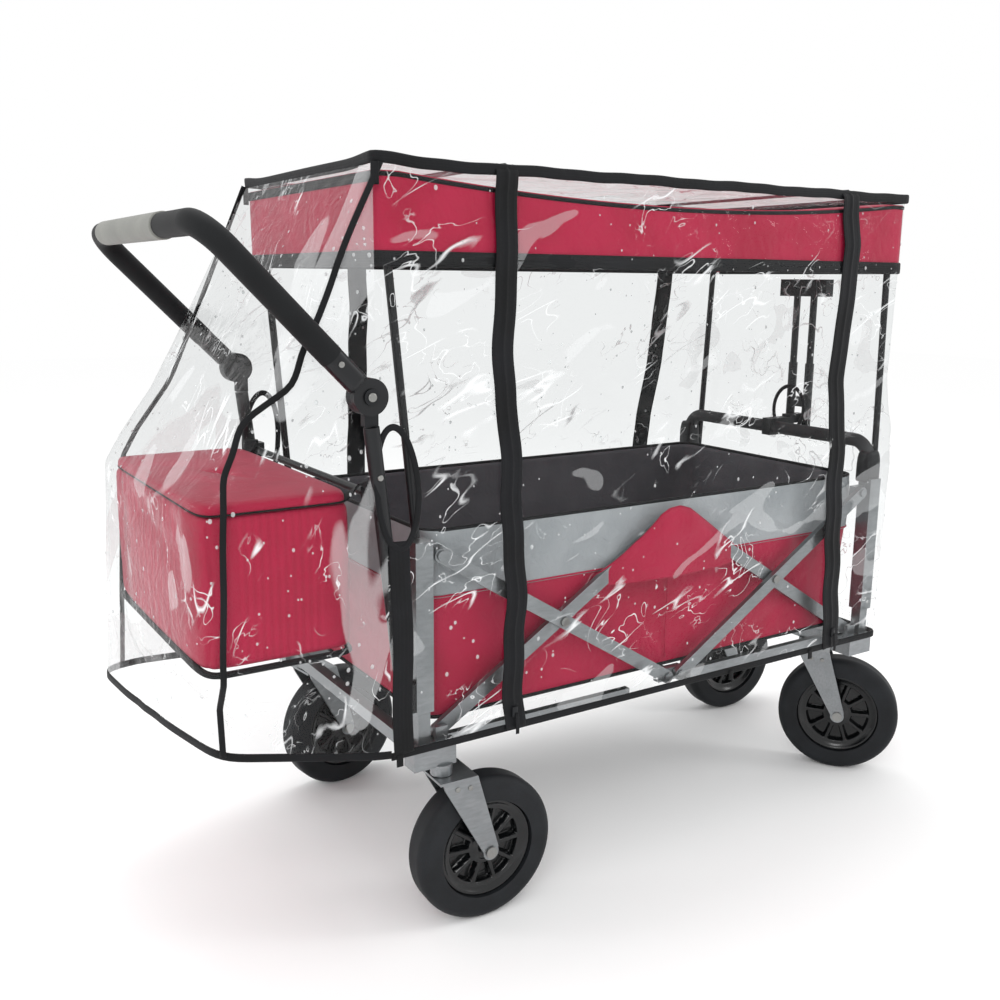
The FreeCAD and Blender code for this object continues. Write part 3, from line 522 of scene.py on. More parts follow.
canopy = addSheet("canopy_sheet", makeCanopy(canopyPlan), crimsonCloth, "rear_carriage",
                  (False, True), 0.0012, replaced=["canopy"])
ring = roundBox(canopyPlan["halfX"], canopyPlan["halfY"], canopyPlan["corner"], 320)
hemPath = np.column_stack([ring, np.full(len(ring), canopyPlan["low"] + canopyPlan["hemUp"])])
hemOut = roundCorners(ring, canopyPlan)
canopyHem = addTrim("canopy_hem_band", place(hemPath), hemOut, ribbon(*canopyPlan["hemBand"]), True)
edgeZ = canopyTop(ring[:, 0], ring[:, 1], canopyPlan) - 0.0075
canopyEdge = addTrim("canopy_edge_piping", place(np.column_stack([ring, edgeZ])), hemOut,
                     ribbon(*canopyPlan["piping"], 2.6, 8), True)
rearY = np.linspace(-0.236, 0.236, 40)
rearX = np.full(40, -canopyPlan["halfX"] - 0.0006)
rearZ = canopyTop(rearX, rearY, canopyPlan) - 0.0105
rearEdge = addTrim("canopy_rear_edge_band", place(np.column_stack([rearX, rearY, rearZ])), (-1, 0, 0),
                   ribbon(*canopyPlan["rearBand"]))
for piece in (canopy, canopyHem, canopyEdge, rearEdge):
    squashWith(piece)
print("canopy made")

# basket, floor mat and hinge flaps

basketPlan = {"halfX": 0.4615, "halfY": 0.2345, "corner": 0.028, "low": 0.322, "high": 0.612, "seam": 0.512,
              "around": 360, "wall": 0.0016, "gap": 0.0105}


def basketWall(s, low, high, rows, inset, seed, bulge=0.0):
    # the rounded outline carried up between two heights, with shallow folds in the cloth
    ring = roundBox(s["halfX"], s["halfY"], s["corner"], s["around"])
    z = np.linspace(0, 1, rows)[:, None]
    along = np.linspace(0, 1, len(ring))[None, :]
    fold = creases(along * 2.8, z * (high - low), {
        "seed": seed, "count": 46, "lean": 0.5, "spread": 0.9, "reach": 0.10, "width": 0.014, "height": 0.003})
    fold = np.clip(fold, -0.003, 0.002) * np.sin(math.pi * np.clip(z * 1.1, 0, 1)) ** 0.5
    pull = inset - fold + bulge * np.sin(math.pi * z)
    x = ring[None, :, 0] * (1 - pull / s["halfX"])
    y = ring[None, :, 1] * (1 - pull / s["halfY"])
    height = low + (high - low) * z + np.zeros_like(x)
    return place(np.stack([x, y, height], 2))


low, seam, high = basketPlan["low"], basketPlan["seam"], basketPlan["high"]
lowerWall = addSheet("basket_lower_wall", basketWall(basketPlan, low, seam, 40, 0.0015, 11, 0.004),
                     crimsonCloth, "rear_carriage", (False, True), basketPlan["wall"],
                     replaced=["basket"])
upperBand = addSheet("basket_upper_band", basketWall(basketPlan, seam - 0.004, high - 0.003, 26, 0.0, 12),
                     greyCloth, "rear_carriage", (False, True), basketPlan["wall"])
liner = addSheet("basket_liner", basketWall(basketPlan, low + 0.004, high - 0.004, 40, basketPlan["gap"], 13),
                 linerCloth, "rear_carriage", (False, True), 0.0014, inward=True)
for piece, width in ((lowerWall, 0.19), (upperBand, 0.10), (liner, 0.29)):
    squashWith(piece)


def edgeRing(s, grow, height, count=360):
    # level ring round the basket, with the direction away from it
    ring = roundBox(s["halfX"] + grow, s["halfY"] + grow, s["corner"], count)
    return place(np.column_stack([ring, np.full(count, height)])), roundCorners(ring, s)


for name, height, width, depth, grow in (("basket_rim_piping", 0.6095, 0.006, 0.0062, -0.0022),
                                         ("basket_seam_piping", 0.5105, 0.0030, 0.0026, 0.0004),
                                         ("basket_base_piping", 0.3235, 0.0060, 0.0050, -0.0010)):
    path, away = edgeRing(basketPlan, grow, height)
    look = {"material": crimsonCloth, "slot": "red_fabric"} if "seam" in name else {}
    squashWith(addTrim(name, path, away, ribbon(width, depth, 2.4, 8), True, **look))


def basePanel(s, height, inset, rows=24, columns=60):
    # a flat base with a slight hammock sag: z = height - 4 mm * (1 - x^2)(1 - y^2)
    u, v = np.meshgrid(np.linspace(-1, 1, columns), np.linspace(-1, 1, rows))
    x, y = u * (s["halfX"] - inset), v * (s["halfY"] - inset)
    return place(np.stack([x, y, height - 0.004 * (1 - u**2) * (1 - v**2)], 2))


base = addSheet("basket_base", basePanel(basketPlan, 0.3245, 0.004), blackWebbing, "rear_carriage",
                thickness=0.0016)
squashWith(base)

matPlan = {"halfX": 0.452, "halfY": 0.2245, "low": 0.3262, "thick": 0.0048}


def matTop(s, rows=60, columns=200):
    # sewn channels 75 mm apart across the mat: the top dips as |sin| at each seam
    u, v = np.meshgrid(np.linspace(-1, 1, columns), np.linspace(-1, 1, rows))
    x, y = u * s["halfX"], v * s["halfY"]
    swell = np.abs(np.sin(math.pi * x / 0.075)) ** 0.35
    edge = (1 - u**20) * (1 - v**20)
    return place(np.stack([x, y, s["low"] + 0.0012 + s["thick"] * 0.62 * swell * edge], 2))


mat = addSheet("floor_mat_quilt", matTop(matPlan), linerCloth, "rear_carriage",
               thickness=0.001, replaced=["floor_mat"])
squashWith(mat)

# peaked flaps over the top hinges, one on each side
flapPlan = {"low": 0.487, "peak": 0.606, "left": -0.160, "right": 0.152, "out": 0.2685, "wall": 0.2385}


def makeFlap(s, side):
    # b runs from the lower hem to the peaked edge; the middle clears the links and the tips meet the wall
    a = np.linspace(0, 1, 90)[None, :]
    b = np.linspace(0, 1, 26)[:, None]
    x = s["left"] + (s["right"] - s["left"]) * a
    knotX = [-0.160, -0.148, -0.110, -0.076, -0.040, -0.022, 0.0, 0.022, 0.053, 0.101, 0.143, 0.152]
    knotZ = [0.503, 0.512, 0.537, 0.562, 0.594, 0.602, 0.6045, 0.598, 0.577, 0.545, 0.518, 0.508]
    top = np.interp(x, knotX, knotZ)
    z = s["low"] + (top - s["low"]) * b
    belly = np.clip(np.sin(math.pi * a), 0, 1) ** 0.6
    tuck = np.clip((b - 0.72) / 0.28, 0, 1) ** 2
    y = s["wall"] + (s["out"] - s["wall"]) * belly * (1 - 0.30 * tuck)
    y = y + 0.0012 * np.sin(60 * x + 30 * z) * belly
    points = np.stack([x + np.zeros_like(y), side * y, z], 2)
    return place(points if side < 0 else points[:, ::-1])


for side, word in ((-1, "right"), (1, "left")):
    flap = addSheet(f"hinge_flap_{word}", makeFlap(flapPlan, side), crimsonCloth, "top_hinges",
                    thickness=0.0012)
    squashWith(flap)
print("basket made")

# rear bag

bagPlan = {"inX": -0.569, "outX": -0.787, "halfY": 0.2365, "low": 0.447, "high": 0.671, "power": 12.0,
           "basePiping": (0.0110, 0.006), "lidPiping": (0.0024, 0.0024), "strap": (0.022, 0.0018)}


def makeBag(s, rows=54, columns=220):
    # level rings |x|^p + |y|^p = 1, fuller at mid height, slack at the bottom and rounded at both ends
    t = fullTurn(columns)[None, :]
    v = np.linspace(0, 1, rows)[:, None]
    end = (1 - np.abs(2 * v - 1) ** 26) ** (1 / 6)
    end = np.where((v == 0) | (v == 1), 0.0, end)
    ex, ey = squared(t, s["power"])
    centre, half = (s["inX"] + s["outX"]) / 2, (s["inX"] - s["outX"]) / 2
    slack = creases(t * 0.14, v * 0.21, {
        "seed": 21, "count": 40, "lean": 1.2, "spread": 0.8, "reach": 0.07, "width": 0.012, "height": 0.004})
    slack = np.clip(slack, -0.006, 0.0005)
    size = end * (0.985 + 0.012 * np.sin(math.pi * v)) + slack / half * 0.6
    x = centre + half * ex * np.minimum(size, 1)
    y = s["halfY"] * ey * np.minimum(end * (0.99 + 0.008 * np.sin(math.pi * v)) + slack / s["halfY"], 1)
    sag = 0.006 * (1 - np.clip(np.abs(y) / s["halfY"], 0, 1) ** 2) * (1 - v)
    z = s["low"] + 0.006 + (s["high"] - s["low"] - 0.006) * v - sag + np.zeros_like(x)
    return place(np.stack([x, y, z], 2))


bagPoints = makeBag(bagPlan)
bagFaces = gridFaces(*bagPoints.shape[:2], False, True)
reachV = np.linspace(0, 0.22, bagPoints.shape[0])[:, None] + np.zeros((1, bagPoints.shape[1]))
reachU = np.linspace(0, 1.3, bagPoints.shape[1])[None, :] + np.zeros((bagPoints.shape[0], 1))
bag = addPiece("rear_bag_shell", bagPoints, bagFaces, crimsonCloth, "rear_carriage",
               np.stack([reachU, reachV], 2), replaced=["rear_bag"])


def ringAt(s, height, grow, count=200):
    # level ring of the bag at this height, grown or shrunk all round
    ex, ey = squared(fullTurn(count), s["power"])
    x = (s["inX"] + s["outX"]) / 2 + ((s["inX"] - s["outX"]) / 2 + grow) * ex
    return np.column_stack([x, (s["halfY"] + grow) * ey, np.full(count, height)])


lidRing = ringAt(bagPlan, 0.0, -0.004)
lidCentre = np.array([(bagPlan["inX"] + bagPlan["outX"]) / 2, 0, 0])
lidRows = []
for share, height in ((0.0, 0.668), (0.004, 0.6745), (0.02, 0.6785), (0.10, 0.6798), (0.35, 0.679),
                      (0.7, 0.6775), (0.999, 0.677)):
    lidRows.append(lidRing * [1 - share, 1 - share, 0] + lidCentre * [share, share, 0] + [0, 0, height])
lidPoints = place(np.array(lidRows))
lid = addSheet("bag_lid_flap", lidPoints, crimsonCloth, "rear_carriage", (False, True), 0.002,
               replaced=["bag_lid"])
lowRing = ringAt(bagPlan, 0.4535, -0.0030)
addTrim("bag_base_piping", place(lowRing), lowRing - lidCentre, ribbon(*bagPlan["basePiping"], 2.4, 8), True)
highRing = ringAt(bagPlan, 0.6665, -0.0045)
addTrim("bag_lid_piping", place(highRing), highRing - lidCentre, ribbon(*bagPlan["lidPiping"], 2.2, 8), True)
for side, word in ((-1, "right"), (1, "left")):
    strapPath = through([(-0.580, side * 0.200, 0.660), (-0.562, side * 0.212, 0.676),
                         (-0.552, side * 0.226, 0.690), (-0.545, side * 0.240, 0.668),
                         (-0.540, side * 0.243, 0.650)], 24)
    addTrim(f"bag_strap_{word}", place(strapPath), (0.2, side * 0.4, 1.0), ribbon(*bagPlan["strap"]))
print("bag made")

# rain cover

# height, half width, front x of the body; then the tail's near and far corners as (x, y)
coverZ = np.array([0.300, 0.400, 0.445, 0.560, 0.675, 0.720, 0.790, 0.870, 0.985, 1.112])
coverHalf = np.array([0.2755, 0.2748, 0.2743, 0.2725, 0.2655, 0.2580, 0.2460, 0.2445, 0.2430, 0.2425])
coverFront = np.array([0.506, 0.509, 0.511, 0.516, 0.520, 0.522, 0.525, 0.5285, 0.534, 0.5385])
nearX = np.array([-0.762, -0.764, -0.796, -0.798, -0.794, -0.754, -0.718, -0.662, -0.602, -0.5412])
nearY = np.array([-0.204, -0.210, -0.236, -0.239, -0.238, -0.230, -0.228, -0.232, -0.238, -0.2425])
farX = np.array([-0.824, -0.817, -0.814, -0.806, -0.798, -0.774, -0.722, -0.676, -0.612, -0.5412])
farY = np.array([0.226, 0.230, 0.236, 0.239, 0.240, 0.234, 0.232, 0.235, 0.239, 0.2425])
slit = {"x": -0.520, "z": 0.684, "halfX": 0.031, "halfZ": 0.083}
frontSlit = {"z": 0.706, "halfY": 0.040, "halfZ": 0.047}


def bodyOutline(z, count=(150, 10, 70)):
    # level outline of the body at heights z: near side, round corner, front, round corner, far side
    half, front = np.interp(z, coverZ, coverHalf), np.interp(z, coverZ, coverFront)
    side, turn, across = count
    radius = 0.016
    t = np.linspace(0, 1, side)[None, :]
    nearXs = filmSeam + (front[:, None] - radius - filmSeam) * t
    angle = np.linspace(0, math.pi / 2, turn + 2)[1:-1][None, :]
    s = np.linspace(-1, 1, across)[None, :]
    width = (half - radius)[:, None]
    bow = 0.0035 * (1 - s**2)
    x = np.concatenate([nearXs, front[:, None] - radius + radius * np.sin(angle), front[:, None] + bow,
                        front[:, None] - radius + radius * np.cos(angle), nearXs[:, ::-1]], axis=1)
    y = np.concatenate([-half[:, None] + 0 * nearXs, -width - radius * np.cos(angle), width * s,
                        width + radius * np.sin(angle), half[:, None] + 0 * nearXs], axis=1)
    return x, y


def softNormal(points, inside):
    # unit normals of a grid, pointing away from the axis point inside
    du, dv = np.gradient(points, axis=1), np.gradient(points, axis=0)
    normal = unit(np.cross(du, dv))
    away = np.sum(normal * (points - inside), axis=2, keepdims=True)
    return normal * np.where(away < 0, -1, 1)


def openEllipse(points, across, centre, half, here):
    # points near the ellipse move onto it along their radius, and those inside are dropped
    offset = points[..., (across, 2)] - centre
    rho = np.linalg.norm(offset / half, axis=-1)
    near = (rho > 0.84) & (rho < 1.12) & here
    moved = centre + offset / np.maximum(rho, 1e-6)[..., None]
    points[..., (across, 2)] = np.where(near[..., None], moved, points[..., (across, 2)])
    return ~((rho <= 0.84) & here)


def openSideSlit(points):
    # the handle stays pass through a slit in each side
    return openEllipse(points, 0, (slit["x"], slit["z"]), (slit["halfX"], slit["halfZ"]),
                       np.abs(points[..., 1]) > 0.2)


def openFrontSlit(points):
    # the tongue of the pull handle passes through a slit in the front
    return openEllipse(points, 1, (0.0, frontSlit["z"]), (frontSlit["halfY"], frontSlit["halfZ"]),
                       points[..., 0] > 0.5)


bodyCreases = {
    "big": {"seed": 31, "count": 60, "lean": 0.9, "spread": 0.5, "reach": 0.16, "width": 0.016,
            "height": 0.005},
    "small": {"seed": 32, "count": 130, "lean": 0.7, "spread": 0.9, "reach": 0.035, "width": 0.006,
              "height": 0.0018},
    "deepest": -0.006, "inside": (0.0, 0.0, 0.7)}
tailCreases = {
    "big": {"seed": 51, "count": 46, "lean": 1.2, "spread": 0.5, "reach": 0.14, "width": 0.016,
            "height": 0.006},
    "small": {"seed": 52, "count": 110, "lean": 1.3, "spread": 0.8, "reach": 0.04, "width": 0.006,
              "height": 0.002},
    "deepest": -0.004, "inside": (-0.62, 0.0, 0.6)}


def crumple(points, along, height, s, share):
    # the film pushed level, in or out of its wall, by long and small creases; share is 0 where it is held
    shift = creases(along, height, s["big"]) + creases(along, height, s["small"])
    normal = softNormal(points, np.array(s["inside"]))
    normal[..., 2] = 0
    return points + normal * (np.clip(shift, s["deepest"], 0.007) * share)[..., None]


def coverBody():
    # the side wall: one outline at each height, pushed in and out by long slanting creases
    z = np.linspace(0.300, 1.109, 130)
    x, y = bodyOutline(z)
    height = z[:, None] + np.zeros_like(x)
    points = np.stack([x, y, height], 2)
    along = np.cumsum(np.concatenate([[0], np.linalg.norm(np.diff(points[0], axis=0), axis=1)]))[None, :]
    fade = np.clip((1.109 - height) / 0.05, 0, 1) * np.clip((height - 0.300) / 0.03, 0.1, 1)
    ends = np.clip(np.minimum(along, along[:, -1:] - along) / 0.03, 0, 1)
    return crumple(points, along, height, bodyCreases, fade * ends)


bodyPoints = coverBody()
bodyKeep = openSideSlit(bodyPoints) & openFrontSlit(bodyPoints)
coverSides = addSheet("rain_cover_sides", place(bodyPoints), clearFilm, "rear_carriage",
                      keep=bodyKeep, replaced=["rain_cover_body"])

roofPlan = {"front": 0.5385, "halfY": 0.2425, "high": 1.1105}


def coverRoof(s):
    # the roof hangs a little between its bindings: z = top - sag * (1 - u^2)(1 - v^2), with soft creases
    u, v = np.meshgrid(np.linspace(-1, 1, 150), np.linspace(-1, 1, 64))
    x = (filmSeam + s["front"]) / 2 + u * (s["front"] - filmSeam) / 2
    y = v * s["halfY"]
    fold = creases(x, y, {"seed": 41, "count": 50, "lean": 0.2, "spread": 1.2, "reach": 0.09, "width": 0.012,
                          "height": 0.002})
    z = s["high"] - np.clip(fold, -0.001, 0.003) * (1 - u**2) * (1 - v**2)
    return np.stack([x, y, z], 2)


roof = addSheet("rain_cover_roof", place(coverRoof(roofPlan)), clearFilm, "rear_carriage")
for piece in (coverSides, roof):
    squashWith(piece)


def tailOutline(z):
    # level outline of the tail: near seam, near corner, far corner, far seam, rounded by averaging twice
    half = np.interp(z, coverZ, coverHalf)
    nx, ny = np.interp(z, coverZ, nearX), np.interp(z, coverZ, nearY)
    fx, fy = np.interp(z, coverZ, farX), np.interp(z, coverZ, farY)
    s = np.linspace(0, 1, 60, endpoint=False)[None, :]
    r = np.linspace(0, 1, 90, endpoint=False)[None, :]
    e = np.linspace(0, 1, 61)[None, :]
    out = 0.010 * np.sin(math.pi * r) * np.clip((1.1 - z[:, None]) / 0.3, 0, 1)
    x = np.concatenate([filmSeam + (nx[:, None] - filmSeam) * s, nx[:, None] + (fx - nx)[:, None] * r - out,
                        fx[:, None] + (filmSeam - fx[:, None]) * e], axis=1)
    y = np.concatenate([-half[:, None] + (ny + half)[:, None] * s, ny[:, None] + (fy - ny)[:, None] * r,
                        fy[:, None] + (half - fy)[:, None] * e], axis=1)
    pad = 9
    kernel = np.hanning(2 * pad + 3)[1:-1]
    kernel = kernel / kernel.sum()
    for _ in range(2):
        for line in (x, y):
            longer = np.concatenate([2 * line[:, :1] - line[:, pad:0:-1], line,
                                     2 * line[:, -1:] - line[:, -2:-pad - 2:-1]], axis=1)
            line[:] = sum(kernel[k] * longer[:, k:k + line.shape[1]] for k in range(2 * pad + 1))
    return x, y


def coverTail():
    # the tail film: one outline at each height, its hem higher at the back, pushed in and out by creases
    z = np.linspace(0.304, 1.109, 120)
    x, y = tailOutline(z)
    behind = np.clip((-x - 0.56) / 0.2, 0, 1)
    height = z[:, None] + 0.022 * np.clip((0.36 - z[:, None]) / 0.06, 0, 1) * behind
    points = np.stack([x, y, height], 2)
    along = np.linspace(0, 1.05, x.shape[1])[None, :] + 0 * x
    fade = np.clip((1.105 - height) / 0.08, 0, 1) * np.clip((height - 0.30) / 0.06, 0.1, 1)
    ends = np.clip(np.minimum(along, 1.05 - along) / 0.04, 0, 1)
    return crumple(points, along, height, tailCreases, fade * ends)


tailPoints = coverTail()
tailKeep = openSideSlit(tailPoints)
tail = addSheet("rain_cover_tail_film", place(tailPoints), tailFilm, "rear_carriage",
                keep=tailKeep, replaced=["rain_cover_tail"])
print("rain cover film made")


def onSide(x, z, side, lift):
    # a point on the body's near or far wall, lifted off it
    half = np.interp(z, coverZ, coverHalf) + lift
    return np.column_stack([x, side * half, z])


# width and thickness of each trim of the cover
trimSize = {"cornerTab": (0.011, 0.003), "hem": (0.012, 0.003), "cornerStrip": (0.032, 0.0022),
            "sideSlit": (0.0095, 0.004), "frontSlit": (0.008, 0.004), "tailPiping": (0.0085, 0.0035),
            "slider": (0.010, 0.0045), "pullTab": (0.0065, 0.0016), "hemTab": (0.011, 0.002)}
trim = []
bindingPlan = {"middle": 1.1130, "wide": 0.0158, "thick": 0.0042, "front": 0.5395, "halfY": 0.2435}


def bindingPath(s, count=420):
    # a level loop round the roof's edge, which rises and falls by a millimetre and peaks at its rear corners
    half = (s["front"] - filmSeam) / 2
    ring = roundBox(half, s["halfY"], 0.007, count)
    x, y = ring[:, 0] + (s["front"] + filmSeam) / 2, ring[:, 1]
    peak = 0.0055 * np.exp(-(((x - filmSeam) / 0.05) ** 2 + ((np.abs(y) - s["halfY"]) / 0.05) ** 2))
    z = s["middle"] + 0.0007 * np.sin(x * 31 + y * 9) + 0.0004 * np.sin(x * 83) + peak
    away = np.column_stack([np.where(np.abs(y) < s["halfY"] - 0.008, np.sign(x), 0.0), np.sign(y), 0 * x])
    away[:, 1] = np.where(np.abs(ring[:, 0]) > half - 1e-4, 0.0, away[:, 1])
    return np.column_stack([x, y, z]), unit(away)


path, out = bindingPath(bindingPlan)
topProfile = ribbon(bindingPlan["wide"], bindingPlan["thick"], 3, 10)
trim.append(addTrim("top_binding", place(path), out, topProfile, True))
for side, word in ((-1, "right"), (1, "left")):
    tabX, tabY = np.full(8, filmSeam + 0.002), np.full(8, side * 0.2452)
    tab = np.column_stack([tabX, tabY, np.linspace(1.083, 1.112, 8)])
    trim.append(addTrim(f"rear_corner_tab_{word}", place(tab), (-0.5, side, 0),
                        ribbon(*trimSize["cornerTab"])))

hemX, hemY = bodyOutline(np.array([0.300]))
hemLine = np.column_stack([hemX[0], hemY[0], np.full(hemX.shape[1], 0.3005)])
hemLine = np.vstack([hemLine[:1], hemLine[1:-1][::2], hemLine[-1:]])
hemAway = roundCorners(hemLine[:, :2], {"halfX": 0.49, "halfY": 0.25, "corner": 0.0})
hemAway[np.linalg.norm(hemAway, axis=1) < 1e-6] = (1, 0, 0)
trim.append(addTrim("hem_binding_body", place(hemLine), hemAway, ribbon(*trimSize["hem"], 3, 10)))
zipPlan = {
    "rear_zip_tape": {"xs": [-0.335, -0.335, -0.338, -0.336], "zs": [0.298, 0.55, 0.85, 1.112],
                      "width": 0.036, "waver": 1.0},
    "front_zip_tape": {"xs": [0.374, 0.3625, 0.358, 0.358, 0.364, 0.375, 0.3845, 0.392, 0.375],
                       "zs": [0.298, 0.40, 0.50, 0.62, 0.73, 0.84, 0.94, 1.03, 1.112], "width": 0.041,
                       "waver": 0.5},
}


def tapePath(s, seed):
    # up the near wall, over the roof and down the far wall; the slack film makes the tape waver
    z = np.linspace(s["zs"][0], s["zs"][-1] + 0.006, 110)
    x = np.interp(z, s["zs"], s["xs"])
    slow = 0.0028 * np.sin(z * 26 + seed) + 0.0014 * np.sin(z * 61 + 2 * seed)
    slow = slow * s["waver"] * np.clip((1.1 - z) / 0.1, 0, 1)
    lift = 0.0022 + 0.0026 * np.clip((z - 1.08) / 0.02, 0, 1)
    near = onSide(x + slow, z, -1, lift + 0.0015 * np.sin(z * 33 + seed) ** 2)
    far = onSide(x + slow[::-1] * 0.6, z, 1, lift)
    y = np.linspace(-0.240, 0.240, 46)
    over = np.column_stack([np.full(46, x[-1]), y, np.full(46, 1.1205)])
    path = np.vstack([near[:-1], over, far[:-1][::-1]])
    out = np.repeat([[0.0, -1.0, 0.0], [0.0, 0.0, 1.0], [0.0, 1.0, 0.0]], [len(near) - 1, 46, len(far) - 1],
                    axis=0)
    for _ in range(3):
        out[1:-1] = (out[:-2] + out[1:-1] + out[2:]) / 3
    return path, out


def tapeProfile(width):
    # flat tape with a raised coil down the middle and two stitched ridges
    across = np.linspace(-1, 1, 23)
    coil = 0.0016 * np.exp(-((across / 0.14) ** 2))
    stitches = 0.0004 * np.exp(-(((np.abs(across) - 0.72) / 0.08) ** 2))
    topSide = 0.0007 + coil + stitches
    upper = np.column_stack([across * width / 2, topSide])
    lower = np.column_stack([across[::-1] * width / 2, np.full(23, -0.0006)])
    return np.vstack([upper, lower])


for name, s in zipPlan.items():
    path, out = tapePath(s, 1.0 if "rear" in name else 2.3)
    trim.append(addTrim(name, place(path), out, tapeProfile(s["width"])[::-1]))

stripZ = np.linspace(0.302, 0.612, 60)
for side, word in ((-1, "right"), (1, "left")):
    strip = onSide(-0.521 + 0.0015 * np.sin(stripZ * 30), stripZ, side, 0.0016)
    trim.append(addTrim(f"rear_corner_strip_{word}", place(strip), (0, side, 0),
                        ribbon(*trimSize["cornerStrip"], 5, 14)))
    t = fullTurn(72)
    loopX = slit["x"] + slit["halfX"] * np.cos(t)
    loopZ = slit["z"] + slit["halfZ"] * np.sin(t)
    loop = onSide(loopX, loopZ, side, 0.0015)
    trim.append(addTrim(f"stay_slit_binding_{word}", place(loop), (0, side, 0),
                        ribbon(*trimSize["sideSlit"], 3, 10), True))
t = fullTurn(60)
ovalZ = frontSlit["z"] + frontSlit["halfZ"] * np.sin(t)
ovalX = np.interp(ovalZ, coverZ, coverFront) + 0.0045
oval = np.column_stack([ovalX, frontSlit["halfY"] * np.cos(t), ovalZ])
trim.append(addTrim("pull_handle_slit_binding", place(oval), (1, 0, 0),
                    ribbon(*trimSize["frontSlit"], 3, 10), True))
for piece in trim:
    squashWith(piece)

# piping of the tail rides whole, as the tail does
pipeX = [-0.759, -0.763, -0.765, -0.761, -0.758, -0.754, -0.751, -0.737,
         -0.721, -0.692, -0.658, -0.639, -0.620, -0.604, -0.588, -0.530]
pipeHigh = [0.300, 0.400, 0.445, 0.560, 0.640, 0.690, 0.711, 0.744,
            0.782, 0.804, 0.828, 0.873, 0.911, 0.948, 0.990, 1.112]


def onTail(x, z, side):
    # the point of the tail's near or far wall with this x, a little proud of it
    cornerX = np.interp(z, coverZ, nearX if side < 0 else farX)
    cornerY = np.interp(z, coverZ, nearY if side < 0 else farY)
    half = side * np.interp(z, coverZ, coverHalf)
    share = np.clip((x - filmSeam) / (cornerX - filmSeam), 0, 1)
    return np.column_stack([x, half + (cornerY - half) * share + side * 0.0025, z])


pipeZ = np.linspace(0.327, 1.112, 90)
nearPipe = through(np.column_stack([pipeX, pipeHigh]), 400)
nearPipeX = np.interp(pipeZ, nearPipe[:, 1], nearPipe[:, 0])
farPipeX = np.interp(pipeZ, coverZ, farX) + 0.034 * np.clip((1.11 - pipeZ) / 0.3, 0, 1)
for name, path, side in (("tail_piping_right", onTail(nearPipeX, pipeZ, -1), -1),
                         ("tail_piping_left", onTail(farPipeX, pipeZ, 1), 1)):
    addTrim(name, place(path), (-0.3, side, 0), ribbon(*trimSize["tailPiping"], 2.6, 10))
tailHem = tailPoints[0][::3]
addTrim("hem_binding_tail", place(tailHem), tailHem - np.array([-0.6, 0, 0.3]),
        ribbon(*trimSize["hem"], 3, 10))

# beads of rain on the film: shallow domes, a few dozen faces each
dropPlan = {"body": 620, "tail": 330, "small": 0.0012, "large": 0.0030}


def makeDrops(name, surface, keep, count, seed, inside):
    # each drop is a dome: radius * (cos, sin) across the film and a third of its radius high
    random = np.random.default_rng(seed)
    normal = softNormal(surface, np.array(inside))
    rows = random.integers(4, surface.shape[0] - 4, count)
    columns = random.integers(4, surface.shape[1] - 4, count)
    fine = keep[rows, columns]
    rows, columns = rows[fine], columns[fine]
    centre, out = surface[rows, columns], normal[rows, columns]
    side = unit(np.cross(out, [0.0, 0.0, 1.0]) + 1e-9)
    up = np.cross(side, out)
    radius = dropPlan["small"] + (dropPlan["large"] - dropPlan["small"]) * random.random(len(rows)) ** 3
    ringAngle = fullTurn(8)
    wide = np.array([1.0, 0.72, 0.05])
    high = np.array([0.0, 0.30, 0.42])
    disc = radius[:, None, None] * wide[None, :, None]
    points = (centre[:, None, None] + (disc * np.cos(ringAngle))[..., None] * side[:, None, None]
              + (disc * np.sin(ringAngle) * 1.25)[..., None] * up[:, None, None]
              + (radius[:, None] * high[None, :] + 0.0004)[:, :, None, None] * out[:, None, None])
    faces = gridFaces(3, 8, False, True)
    every = (faces[None] + 24 * np.arange(len(rows))[:, None, None]).reshape(-1, 4)
    caps = (np.arange(16, 24)[None] + 24 * np.arange(len(rows))[:, None]).tolist()
    return addPiece(name, place(points.reshape(-1, 3)), every, dropGlass, "rear_carriage",
                    caps=caps)


bodyDrops = makeDrops("rain_drops_sides", bodyPoints, bodyKeep, dropPlan["body"], 61, bodyCreases["inside"])
squashWith(bodyDrops)
makeDrops("rain_drops_tail", tailPoints, tailKeep, dropPlan["tail"], 62, tailCreases["inside"])
print("rain cover trim made")

# rivets, zip sliders and small trim


def makeStud(name, spot, axis, size, material, body):
    # a domed rivet head turned round its axis, on a short skirt that meets the part
    radius, height = size
    axis = unit(np.array(axis, float))
    side = unit(np.cross(axis, [0.31, 0.17, 0.93]))
    up = np.cross(axis, side)
    share = np.array([1.0, 1.0, 0.97, 0.88, 0.68, 0.36, 0.04])[:, None]
    tall = np.array([-0.0006, 0.35, 0.62, 0.84, 0.96, 1.0, 1.0])[:, None] * height
    turn = fullTurn(20)[None, :]
    points = (np.array(spot, float) + (radius * share * np.cos(turn))[..., None] * side
              + (radius * share * np.sin(turn))[..., None] * up + (tall + 0 * turn)[..., None] * axis)
    cap = [k + 6 * 20 for k in range(20)]
    return addPiece(name, points, gridFaces(7, 20, False, True), material, body, caps=[cap])


